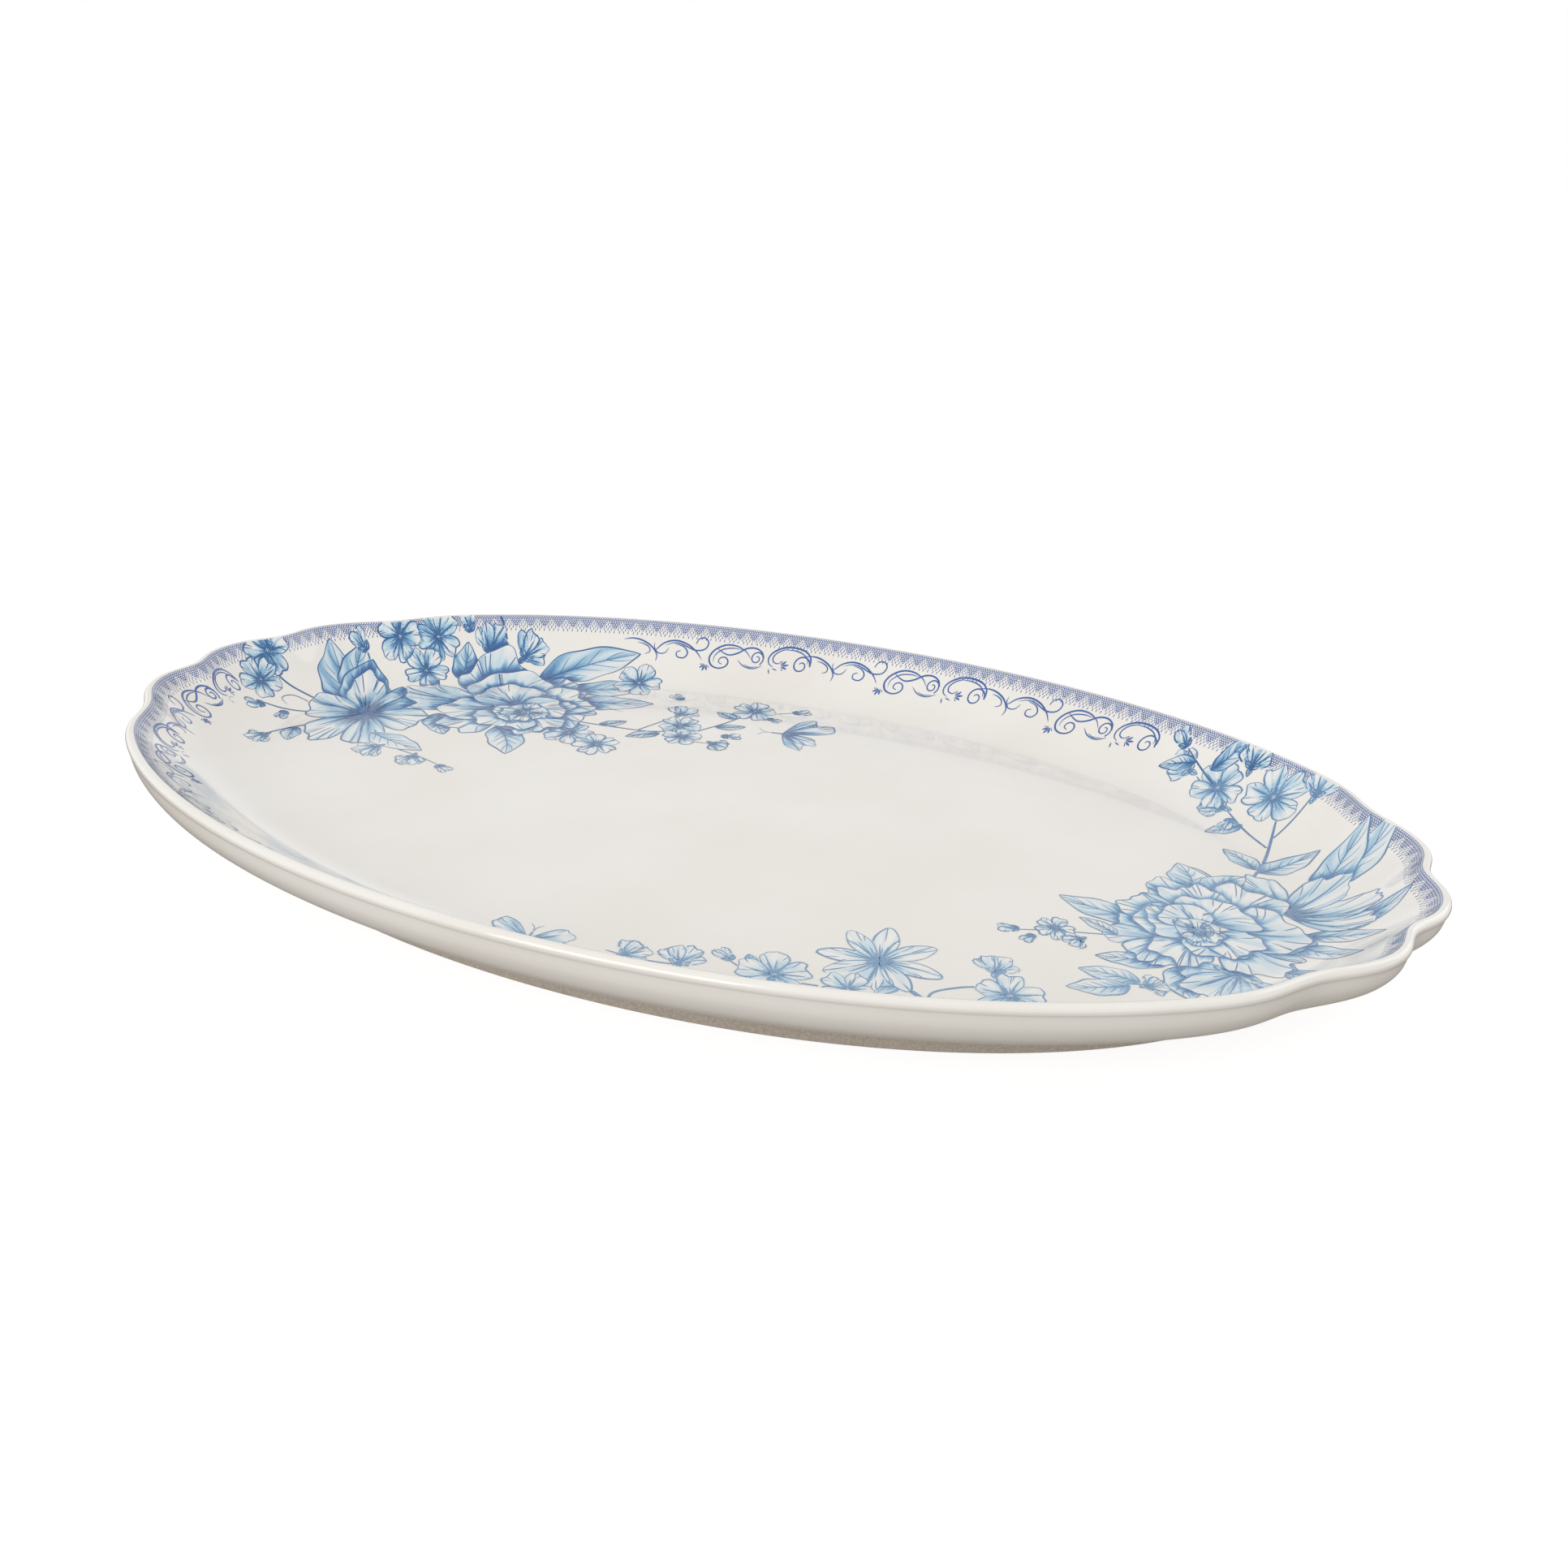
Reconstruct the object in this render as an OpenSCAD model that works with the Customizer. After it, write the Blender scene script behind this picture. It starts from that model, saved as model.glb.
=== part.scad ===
// China serving platter: an oval dish with smooth long sides and two lobed ends.
// Units are millimetres and Z is up. The origin is on the table, under the middle.
// +X runs along the length. The clay body stands on a bare ring, and every printed
// transfer is a film of its own, laid on the inside face of the body.

/* [Outline] */
// Length over both lobed ends
platter_length = 410; // [360:1:440]
// Width over the smooth sides
platter_width = 295; // [260:1:310]
// Depth of the two dents beside each end's middle lobe
inner_dent_depth = 4.3; // [2:0.1:5]
// Depth of the two dents where the side lobes meet the long sides
outer_dent_depth = 3.8; // [2:0.1:5]
// Turn from the length axis to the inner dents, in degrees
inner_dent_turn = 9.1; // [8:0.1:11]
// Turn from the length axis to the outer dents, in degrees
outer_dent_turn = 27.2; // [24:0.1:32]

/* [Height and wall] */
// Height of the rim above the table
rim_height = 27.5; // [24:0.5:34]
// Height of the well's floor above the table
floor_height = 9.1; // [8.6:0.1:11]
// Width of the curved wall, from the rim to the flat well
wall_width = 38; // [34:1:44]
// Height of the clay's underside above the table
underside_height = 4.5; // [3.5:0.1:5]
// Radius of the rolled edge
lip_radius = 1.7; // [1.4:0.1:2]

/* [Standing ring] */
// Distance from the rim's outline to the ring's outer foot edge
foot_inset = 27; // [26:0.5:32]
// Width of the flat face the platter stands on
foot_land = 4; // [3:0.5:6]

/* [Printed films] */
// Width of the lace border
lace_width = 4; // [3:0.5:5]
// Width of the scroll borders
scroll_width = 11.5; // [9:0.5:13]
// Height of the film's face above the clay
film_lift = 0.2; // [0.15:0.05:0.3]

/* [Hidden] */

half_length = platter_length / 2;
half_width = platter_width / 2;

// Sections round the outline, and how far they crowd towards the lobed ends
rim_sections = 152;
end_crowding = 11;
// Steps across a border film
border_steps = 3;
// Sections round one film patch, and rings from its middle to its edge
patch_sections = 26;
patch_rings = 4;
// Spread of each dent along the outline, in degrees
inner_dent_spread = 4.6;
outer_dent_spread = 5.6;
// The dents die away down the wall over this distance
dent_fade = 16;
// Inset past which the body's rings shrink towards the middle
well_inset = 60;
// Share by which the underside tucks further in at the lobed ends
end_tuck = 0.25;
// Rise of the clay's underside in the middle, and the round of the ring's edges
middle_rise = 0.3;
foot_round = 0.5;
// How far a film is bedded into the clay
film_bed = 0.05;
// Bare band of glaze between the rolled edge and the lace
bare_band = 0.9;
lace_inset = 2 * lip_radius - bare_band;
// Gap between the lace and the scroll borders
scroll_gap = 0.3;
scroll_inset = lace_inset + lace_width + scroll_gap;
// The rolled edge runs from the wall over the crest and round to the outside
lip_start = 135;
lip_end = -55;
lip_steps = 8;

ink = [0.33, 0.43, 0.68];
glaze = [0.95, 0.94, 0.92];
bare_clay = [0.62, 0.57, 0.51];

// Crowded section angle: the sections are closest at the two ends
function section_turn(k) =
    let (u = 360 * k / rim_sections) u - end_crowding * sin(2 * u);

// Turn from the nearer end of the length axis, 0 to 90
function folded(a) =
    let (m = ((a % 180) + 180) % 180) m > 90 ? 180 - m : m;

function bell(x, middle, spread) = exp(-pow((x - middle) / spread, 2));

// How far the lobed outline lies inside the plain oval
function dent(a) =
    inner_dent_depth * bell(folded(a), inner_dent_turn, inner_dent_spread)
    + outer_dent_depth * bell(folded(a), outer_dent_turn, outer_dent_spread);

function outward(a) =
    let (n = [half_width * cos(a), half_length * sin(a)]) n / norm(n);

// Point of the plan view at turn a, an inset inside the outline
function plan_point(a, inset) =
    let (back = inset + dent(a) * exp(-pow(inset / dent_fade, 2)))
    [half_length * cos(a), half_width * sin(a)] - back * outward(a);

// Millimetres of outline for each degree of turn
function turn_length(a) =
    norm([half_length * sin(a), half_width * cos(a)]) * PI / 180;

// Inside wall: a bowl curve from the rolled edge down to the flat well
wall_top = lip_radius + lip_radius * sin(lip_start - 90);
wall_top_z = rim_height - lip_radius + lip_radius * cos(lip_start - 90);
function wall_share(inset) =
    max(0, min(1, (wall_width - inset) / (wall_width - wall_top)));
function inside_z(inset) =
    floor_height + (wall_top_z - floor_height) * pow(wall_share(inset), 2);

function at_height(p, z) = [p[0], p[1], z];
function ring(inset, z) =
    [for (k = [0 : rim_sections - 1]) at_height(plan_point(section_turn(k), inset), z)];
// Ring of the underside, tucked further in below the lobed ends
function tucked_ring(inset, z) =
    [for (k = [0 : rim_sections - 1])
        let (a = section_turn(k), tucked = inset * (1 + end_tuck * pow(cos(a), 4)))
        at_height(plan_point(a, tucked), z)];
function shrunk_ring(share, z) =
    [for (k = [0 : rim_sections - 1])
        at_height(plan_point(section_turn(k), well_inset) * share, z)];

// Faces between the loops of a point list, each loop with n points
function band_faces(n, first, second) =
    [for (k = [0 : n - 1])
        let (a = first * n + k, b = first * n + (k + 1) % n,
             c = second * n + (k + 1) % n, d = second * n + k)
        each [[a, b, c], [a, c, d]]];

// Solid through loops that close on themselves, such as a ring
module closed_skin(loops) {
    n = len(loops[0]);
    m = len(loops);
    points = [for (l = loops) each l];
    faces = [for (j = [0 : m - 1]) each band_faces(n, j, (j + 1) % m)];
    polyhedron(points = points, faces = faces, convexity = 6);
}

// Solid through loops that start and end at a single point
module tipped_skin(loops, first_tip, last_tip) {
    n = len(loops[0]);
    m = len(loops);
    points = concat([for (l = loops) each l], [first_tip, last_tip]);
    sides = [for (j = [0 : m - 2]) each band_faces(n, j, j + 1)];
    first_fan = [for (k = [0 : n - 1]) [n * m, (k + 1) % n, k]];
    last_fan = [for (k = [0 : n - 1])
        [n * m + 1, (m - 1) * n + k, (m - 1) * n + (k + 1) % n]];
    polyhedron(points = points, faces = concat(sides, first_fan, last_fan), convexity = 6);
}

// Outside of the body, from under the rolled edge to the standing ring: a soft
// groove, a round shoulder and a long slope. Each entry is an inset and a drop
// below the crest, for a body whose underside is curve_drop below it.
curve_drop = 23;
outside_curve = [
    [1.5, 3.9], [1.3, 5], [1.5, 6.8], [2.3, 8.9], [3.9, 11], [6.3, 13],
    [9.5, 15], [13.5, 17], [18.5, 19.2], [23.5, 21.7]
];

module platter_body() {
    well_rings = [for (s = [0.25, 0.5, 0.75, 1]) shrunk_ring(s, floor_height)];
    wall_steps = 10;
    wall_rings = [for (j = [0 : wall_steps])
        let (inset = wall_width + (wall_top - wall_width) * j / wall_steps)
        ring(inset, inside_z(inset))];
    lip_rings = [for (j = [1 : lip_steps])
        let (w = lip_start + (lip_end - lip_start) * j / lip_steps)
        ring(lip_radius - lip_radius * cos(w), rim_height - lip_radius + lip_radius * sin(w))];
    drop_share = (rim_height - underside_height) / curve_drop;
    outside_rings = [for (p = outside_curve)
        tucked_ring(p[0], rim_height - p[1] * drop_share)];
    seat_margin = 1.6;
    under_rings = [
        tucked_ring(foot_inset - seat_margin, underside_height),
        tucked_ring(foot_inset + foot_land + 2 * seat_margin, underside_height),
        shrunk_ring(0.8, underside_height + middle_rise),
        shrunk_ring(0.4, underside_height + middle_rise)
    ];
    color(glaze)
        tipped_skin(
            concat(well_rings, wall_rings, lip_rings, outside_rings, under_rings),
            [0, 0, floor_height],
            [0, 0, underside_height + middle_rise]
        );
}

// Bare standing ring: a flat land with sloping sides, joined under the clay
module foot_ring() {
    root_flare = 1;
    inner = foot_inset + foot_land;
    color(bare_clay)
        closed_skin([
            tucked_ring(foot_inset - root_flare, underside_height),
            tucked_ring(foot_inset, foot_round),
            tucked_ring(foot_inset + foot_round, 0),
            tucked_ring(inner - foot_round, 0),
            tucked_ring(inner, foot_round),
            tucked_ring(inner + root_flare, underside_height)
        ]);
}

// Point of a film at turn a, an inset from the rim and a lift above the clay
function film_point(a, inset, lift) =
    at_height(plan_point(a, inset), inside_z(inset) + lift);

// Border film that runs all the way round the rim
module round_border(start, width) {
    function loop(j, lift) = [for (k = [0 : rim_sections - 1])
        film_point(section_turn(k), start + width * j / border_steps, lift)];
    closed_skin(concat(
        [for (j = [0 : border_steps]) loop(j, -film_bed)],
        [for (j = [border_steps : -1 : 0]) loop(j, film_lift)]
    ));
}

// Border film along part of the rim
module part_border(from_turn, to_turn, start, width) {
    sections = 36;
    function spot(a, j, lift) = film_point(a, start + width * j / border_steps, lift);
    cuts = [for (s = [0 : sections])
        let (a = from_turn + (to_turn - from_turn) * s / sections)
        concat(
            [for (j = [0 : border_steps]) spot(a, j, film_lift)],
            [for (j = [border_steps : -1 : 0]) spot(a, j, -film_bed)]
        )];
    middle = start + width / 2;
    tipped_skin(cuts, film_point(from_turn, middle, 0), film_point(to_turn, middle, 0));
}

// Film patch cut round a motif: reach is its half-length along the rim, rise is
// its half-width down the wall, and the edge has shallow lobes like cut petals
module patch(turn, inset, reach, rise, petals) {
    function edge(w) = 0.92 + 0.08 * cos(petals * w);
    function spot(w, share, lift) = film_point(
        turn + reach * share * edge(w) * cos(w) / turn_length(turn),
        inset + rise * share * edge(w) * sin(w),
        lift
    );
    function loop(share, lift) =
        [for (k = [0 : patch_sections - 1]) spot(360 * k / patch_sections, share, lift)];
    tipped_skin(
        concat(
            [for (j = [1 : patch_rings]) loop(j / patch_rings, film_lift)],
            [for (j = [patch_rings : -1 : 1]) loop(j / patch_rings, -film_bed)]
        ),
        spot(0, 0, film_lift),
        spot(0, 0, -film_bed)
    );
}

module lace_border() {
    color(ink) round_border(lace_inset, lace_width);
}

module scroll_far() {
    color(ink) part_border(58, 122, scroll_inset, scroll_width);
}

module scroll_left() {
    color(ink) part_border(182, 250, scroll_inset, scroll_width);
}

module spray_left() {
    color(ink) patch(153, 44, 84, 33, 7);
}

module sprig_left() {
    color(ink) patch(203, 82, 32, 12, 5);
}

module branch_far() {
    color(ink) patch(111, 60, 42, 24, 6);
}

module blossom_far() {
    color(ink) patch(119, 28, 9, 6, 5);
}

module butterfly_far() {
    color(ink) patch(93, 70, 11, 9, 4);
}

module spray_right() {
    color(ink) patch(12, 46, 78, 34, 7);
}

module branch_right() {
    color(ink) patch(50, 24, 20, 12, 5);
}

module sprig_right() {
    color(ink) patch(322, 66, 22, 9, 5);
}

module clematis_near() {
    color(ink) patch(299, 50, 22, 19, 8);
}

module garland_near() {
    color(ink) patch(281, 42, 28, 14, 6);
}

module blossom_near() {
    color(ink) patch(311, 46, 12, 12, 5);
}

module leaf_near() {
    color(ink) patch(321, 40, 11, 10, 4);
}

module butterfly_near() {
    color(ink) patch(265.5, 36, 12, 10, 4);
}

platter_body();
foot_ring();
lace_border();
scroll_far();
scroll_left();
spray_left();
sprig_left();
branch_far();
blossom_far();
butterfly_far();
spray_right();
branch_right();
sprig_right();
clematis_near();
garland_near();
blossom_near();
leaf_near();
butterfly_near();
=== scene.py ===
"""China serving platter: a lobed oval dish with a printed flower border.

The clay body and its bare standing ring are extruded loop by loop. Every printed
transfer is a film of its own: a flower film has two pieces, a thin wash and the pen
strokes over it, and a border film has strokes alone. Plan sizes are in millimetres,
as on the maker's drawing, and become metres when a piece is laid on the dish.
"""

import logging
import math
import random
from dataclasses import dataclass, field, replace
from enum import Enum
from typing import Sequence

import bmesh
import bpy
import numpy as np
from mathutils import Matrix, Vector


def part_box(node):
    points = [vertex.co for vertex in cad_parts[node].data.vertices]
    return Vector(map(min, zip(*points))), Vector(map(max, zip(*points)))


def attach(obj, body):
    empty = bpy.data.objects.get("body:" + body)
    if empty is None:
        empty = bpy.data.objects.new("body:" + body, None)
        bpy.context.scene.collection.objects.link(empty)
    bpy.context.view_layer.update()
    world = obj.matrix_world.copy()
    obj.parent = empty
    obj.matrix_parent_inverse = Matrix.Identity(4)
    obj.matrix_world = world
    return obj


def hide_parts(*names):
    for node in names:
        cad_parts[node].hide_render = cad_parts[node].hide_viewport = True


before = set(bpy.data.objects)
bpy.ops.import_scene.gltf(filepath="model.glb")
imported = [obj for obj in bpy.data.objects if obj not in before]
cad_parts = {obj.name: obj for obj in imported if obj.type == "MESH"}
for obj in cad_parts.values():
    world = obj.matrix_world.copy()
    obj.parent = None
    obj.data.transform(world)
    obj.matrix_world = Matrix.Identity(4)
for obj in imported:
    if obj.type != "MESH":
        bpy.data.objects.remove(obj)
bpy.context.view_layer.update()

Array = np.ndarray
Spot = tuple[float, float]
Triple = tuple[float, float, float]
PenLine = tuple[list[Spot], float, float, float]
MM = 0.001
# Direction that the flowers are drawn long in, in degrees
FLOWER_TURN = 112.5
# Inset at which the print starts, just inside the rolled edge
FIRST_PRINTED_INSET = 2.4
LOG = logging.getLogger("platter")


class PrintToneAndSheen(Enum):
    """How strongly a film is printed, as a share of the fullest wash; the paler tones also hold painted
    sheen, the glaze's reflection painted in as paler print on the right spray and the near side.
    """

    FULL = 1.0
    # Paler print; on the right spray it also stands for painted sheen of the glaze
    SOFT = 0.8
    # Palest print, used on the near side: partly a fainter print, partly painted sheen of the glaze
    FAINT = 0.58


class Slot(Enum):
    """Material slots that each piece is reported with."""

    GLAZE = "glaze"
    BARE_CLAY = "bare_clay"
    PRINT_NAVY = "print_navy"
    PRINT_BLUE = "print_blue"


# ---- Shape of the dish ----


@dataclass(frozen=True)
class Outline:
    """Plan outline of the dish: an oval with two dents beside each end's lobe."""

    half_length: float = 205.0
    half_width: float = 147.5
    inner_dent: Triple = (4.3, 9.1, 4.6)
    outer_dent: Triple = (3.8, 27.2, 5.6)
    dent_fade: float = 16.0
    end_crowding: float = 11.0
    end_tuck: float = 0.25
    deepest_inset: float = 80.0
    newton_steps: int = 12

    def section_turns(self, count: int) -> Array:
        """Turns of the sections round the outline, closest at the two ends.

        Args:
            count: Number of sections.

        Returns:
            The turns in degrees.
        """
        even = 360.0 * np.arange(count) / count
        return even - self.end_crowding * np.sin(np.radians(2 * even))

    def dent(self, turn: Array) -> Array:
        """How far the lobed outline lies inside the plain oval.

        Args:
            turn: Turns in degrees.

        Returns:
            The depths in millimetres.
        """
        part = np.mod(turn, 180.0)
        folded = np.where(part > 90.0, 180.0 - part, part)
        depth = np.zeros_like(folded)
        for size, middle, spread in (self.inner_dent, self.outer_dent):
            depth = depth + size * np.exp(-(((folded - middle) / spread) ** 2))
        return depth

    def point(self, turn: Array, inset: Array) -> Array:
        """Plan points at the given turns and insets from the outline.

        Args:
            turn: Turns in degrees.
            inset: Distances inside the outline.

        Returns:
            One row of X and Y for each turn.
        """
        turn, inset = np.broadcast_arrays(np.asarray(turn, float), np.asarray(inset, float))
        angle = np.radians(turn)
        across, along = np.cos(angle), np.sin(angle)
        outward = np.stack([self.half_width * across, self.half_length * along], axis=-1)
        outward /= np.linalg.norm(outward, axis=-1, keepdims=True)
        back = inset + self.dent(turn) * np.exp(-((inset / self.dent_fade) ** 2))
        oval = np.stack([self.half_length * across, self.half_width * along], axis=-1)
        return oval - back[..., None] * outward

    def tucked(self, turn: Array, inset: float) -> Array:
        """Plan points of an underside ring, tucked further in below the ends.

        Args:
            turn: Turns in degrees.
            inset: Inset at the long sides.

        Returns:
            One row of X and Y for each turn.
        """
        return self.point(turn, inset * (1 + self.end_tuck * np.cos(np.radians(turn)) ** 4))

    def locate(self, spots: Array) -> tuple[Array, Array]:
        """Turn and inset of plan points, found by Newton steps.

        Args:
            spots: Rows of X and Y.

        Returns:
            The turns in degrees and the insets in millimetres.
        """
        share = spots / np.array([self.half_length, self.half_width])
        turn = np.degrees(np.arctan2(share[:, 1], share[:, 0]))
        inset = self.half_width * (1 - np.linalg.norm(share, axis=1))
        inset = np.clip(inset, 0.0, self.deepest_inset)
        probe = 0.01
        smallest = 1e-6
        longest_turn, longest_inset = 4.0, 8.0
        for _ in range(self.newton_steps):
            off = self.point(turn, inset) - spots
            by_turn = self.point(turn + probe, inset) - self.point(turn - probe, inset)
            by_turn = by_turn / (2 * probe)
            by_inset = self.point(turn, inset + probe) - self.point(turn, inset - probe)
            by_inset = by_inset / (2 * probe)
            det = by_turn[:, 0] * by_inset[:, 1] - by_turn[:, 1] * by_inset[:, 0]
            det = np.where(np.abs(det) < smallest, smallest, det)
            turn_step = (off[:, 0] * by_inset[:, 1] - off[:, 1] * by_inset[:, 0]) / det
            inset_step = (by_turn[:, 0] * off[:, 1] - by_turn[:, 1] * off[:, 0]) / det
            turn = turn - np.clip(turn_step, -longest_turn, longest_turn)
            inset = inset - np.clip(inset_step, -longest_inset, longest_inset)
            inset = np.clip(inset, 0.0, self.deepest_inset)
        return turn, inset

    def length_table(self, inset: float) -> tuple[Array, Array]:
        """Lengths along the line at one inset, from turn 0 all the way round.

        Args:
            inset: Inset of the line.

        Returns:
            The turns in degrees, and the length from turn 0 to each.
        """
        turns = np.linspace(0.0, 360.0, 20 * 360 + 1)
        steps = np.linalg.norm(np.diff(self.point(turns, inset), axis=0), axis=1)
        return turns, np.concatenate([[0.0], np.cumsum(steps)])


@dataclass(frozen=True)
class Profile:
    """Section of the dish: rolled edge, bowl wall, flat well and outside."""

    rim_height: float = 27.5
    floor_height: float = 9.1
    wall_width: float = 38.0
    underside: float = 4.5
    middle_rise: float = 0.3
    lip_radius: float = 1.7
    lip_start: float = 135.0
    lip_end: float = -40.0
    foot_inset: float = 27.0
    foot_land: float = 4.0
    foot_flare: float = 1.0
    foot_round: float = 0.5
    seat_margin: float = 1.6
    well_inset: float = 60.0
    curve_drop: float = 23.0

    @property
    def wall_top(self) -> float:
        """Inset at which the bowl wall meets the rolled edge."""
        return self.lip_radius * (1 + math.sin(math.radians(self.lip_start - 90)))

    def height(self, inset: Array) -> Array:
        """Height of the inside face above the table.

        Args:
            inset: Insets from the outline.

        Returns:
            The heights in millimetres.
        """
        radius = self.lip_radius
        top_z = self.rim_height - radius + radius * math.cos(math.radians(self.lip_start - 90))
        share = (self.wall_width - inset) / (self.wall_width - self.wall_top)
        bowl = self.floor_height + (top_z - self.floor_height) * np.clip(share, 0, 1) ** 2
        roll = np.clip(1 - inset / radius, -1, 1)
        rolled = self.rim_height - radius + radius * np.sqrt(1 - roll**2)
        return np.where(inset < self.wall_top, rolled, bowl)

    def lip(self, steps: int) -> list[Spot]:
        """Insets and heights over the rolled edge, from the wall to the outside.

        Args:
            steps: Number of steps over the edge.

        Returns:
            Pairs of inset and height, without the first one.
        """
        turns = np.radians(np.linspace(self.lip_start, self.lip_end, steps + 1)[1:])
        radius = self.lip_radius
        insets = radius - radius * np.cos(turns)
        heights = self.rim_height - radius + radius * np.sin(turns)
        return list(zip(insets.tolist(), heights.tolist()))

    def outside(self) -> list[Spot]:
        """Insets and drops of the outside: a soft groove, a shoulder and a slope.

        Returns:
            Pairs of inset and drop below the crest, for an underside curve_drop below it.
        """
        return [
            (0.62, 4.0), (0.82, 5.2), (1.28, 6.9), (2.3, 8.9), (3.9, 11.0),
            (6.3, 13.0), (9.5, 15.0), (13.5, 17.0), (18.5, 19.2), (23.5, 21.7),
        ]


@dataclass(frozen=True)
class Dish:
    """The dish's outline and section together, which every film is laid on."""

    outline: Outline
    profile: Profile

    def lay(self, spots: Array, lift: float | Array) -> Array:
        """Put plan points on the inside face.

        Args:
            spots: Rows of X and Y in millimetres.
            lift: Height above the glaze in millimetres, one for all or one for each.

        Returns:
            Rows of X, Y and Z in metres.
        """
        _, inset = self.outline.locate(spots)
        heights = self.profile.height(inset) + lift
        return np.column_stack([spots, heights]) * MM


def level_loop(plan: Array, height: float) -> Array:
    """Lift a flat loop to a height.

    Args:
        plan: Rows of X and Y in millimetres.
        height: Height above the table in millimetres.

    Returns:
        Rows of X, Y and Z in metres.
    """
    return np.column_stack([plan, np.full(len(plan), height)]) * MM


# ---- Working with Blender's own tools ----


def clear_selection() -> None:
    """Leave edit mode and deselect everything."""
    if bpy.context.mode != "OBJECT":
        bpy.ops.object.mode_set(mode="OBJECT")
    bpy.ops.object.select_all(action="DESELECT")


def take_up(piece: bpy.types.Object) -> None:
    """Make a piece the only selected one, and the active one.

    Args:
        piece: The piece to select.
    """
    clear_selection()
    piece.select_set(True)
    bpy.context.view_layer.objects.active = piece


def smooth_path(knots: Sequence[Spot], step: float = 0.6) -> Array:
    """Smooth line through knots.

    Args:
        knots: Points that the line goes through.
        step: Longest distance between two points of the line.

    Returns:
        Rows of X and Y.
    """
    ends = np.array(knots, float)
    ends = np.vstack([2 * ends[0] - ends[1], ends, 2 * ends[-1] - ends[-2]])
    parts = []
    for k in range(1, len(ends) - 2):
        p0, p1, p2, p3 = ends[k - 1 : k + 3]
        count = max(3, int(np.linalg.norm(p2 - p1) / step) + 1)
        t = np.linspace(0, 1, count, endpoint=False)[:, None]
        parts.append(
            0.5
            * (
                2 * p1
                + (p2 - p0) * t
                + (2 * p0 - 5 * p1 + 4 * p2 - p3) * t**2
                + (3 * p1 - p0 - 3 * p2 + p3) * t**3
            )
        )
    return np.vstack(parts + [ends[-2:-1]])


def turned_shell(name: str, loops: list[Array], ring_closed: bool) -> bpy.types.Object:
    """Extrude a loop of edges through a list of loops, and close the shell.

    Args:
        name: Name of the piece.
        loops: Rows of X, Y and Z in metres, the same number in each loop.
        ring_closed: True to join the last loop to the first, as on a ring; False to
            draw the first and last loops together in a point.

    Returns:
        The closed piece, with its faces outwards.
    """
    clear_selection()
    sections = len(loops[0])
    bpy.ops.mesh.primitive_circle_add(vertices=sections, radius=0.1, fill_type="NOTHING")
    piece = bpy.context.object
    piece.name = piece.data.name = name
    bpy.ops.object.mode_set(mode="EDIT")
    mesh = piece.data
    cage = bmesh.from_edit_mesh(mesh)
    cage.verts.layers.int.new("section")
    cage.verts.layers.int.new("ring")
    section = cage.verts.layers.int["section"]
    for number, vert in enumerate(cage.verts):
        vert[section] = number
        vert.co = loops[0][number]
    bmesh.update_edit_mesh(mesh)
    path = loops[1:] + ([loops[0]] if ring_closed else [])
    for ring_number, loop in enumerate(path, start=1):
        bpy.ops.mesh.extrude_edges_move()
        cage = bmesh.from_edit_mesh(mesh)
        section = cage.verts.layers.int["section"]
        ring = cage.verts.layers.int["ring"]
        for vert in cage.verts:
            if vert.select:
                vert.co = loop[vert[section]]
                vert[ring] = ring_number
        bmesh.update_edit_mesh(mesh)
    if ring_closed:
        bpy.ops.mesh.select_all(action="SELECT")
        bpy.ops.mesh.remove_doubles(threshold=1e-6)
    else:
        draw_together()
        cage = bmesh.from_edit_mesh(mesh)
        ring = cage.verts.layers.int["ring"]
        for vert in cage.verts:
            vert.select = vert[ring] == 0
        cage.select_flush_mode()
        for edge in cage.edges:
            edge.select = edge.verts[0].select and edge.verts[1].select
        bmesh.update_edit_mesh(mesh)
        draw_together()
    face_outwards()
    for layer in ("section", "ring"):
        mesh.attributes.remove(mesh.attributes[layer])
    bpy.ops.object.shade_smooth()
    return piece


def face_outwards() -> None:
    """Turn all faces of the mesh in edit mode outwards, and leave edit mode."""
    bpy.ops.mesh.select_all(action="SELECT")
    bpy.ops.mesh.normals_make_consistent(inside=False)
    bpy.ops.object.mode_set(mode="OBJECT")


def draw_together() -> None:
    """Extrude the selected loop and draw its new edge together in its middle."""
    bpy.ops.mesh.extrude_edges_move()
    bpy.ops.mesh.merge(type="CENTER")


def stamp(blank: bpy.types.Mesh, spots: Array) -> bpy.types.Object:
    """Copy a cut shape, with a mesh of its own, to new points.

    Args:
        blank: The cut shape.
        spots: One row of X, Y and Z for each of its points.

    Returns:
        The copy.
    """
    mesh = blank.copy()
    mesh.vertices.foreach_set("co", np.ascontiguousarray(spots, dtype=np.float32).ravel())
    copy = bpy.data.objects.new("mark", mesh)
    bpy.context.scene.collection.objects.link(copy)
    return copy


def join(marks: list[bpy.types.Object], name: str) -> bpy.types.Object:
    """Join copies into one piece.

    Args:
        marks: The copies.
        name: Name of the joined piece.

    Returns:
        The joined piece.
    """
    clear_selection()
    whole = marks[0]
    with bpy.context.temp_override(
        active_object=whole,
        object=whole,
        selected_objects=marks,
        selected_editable_objects=marks,
    ):
        bpy.ops.object.join()
    whole.name = whole.data.name = name
    return whole


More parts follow.
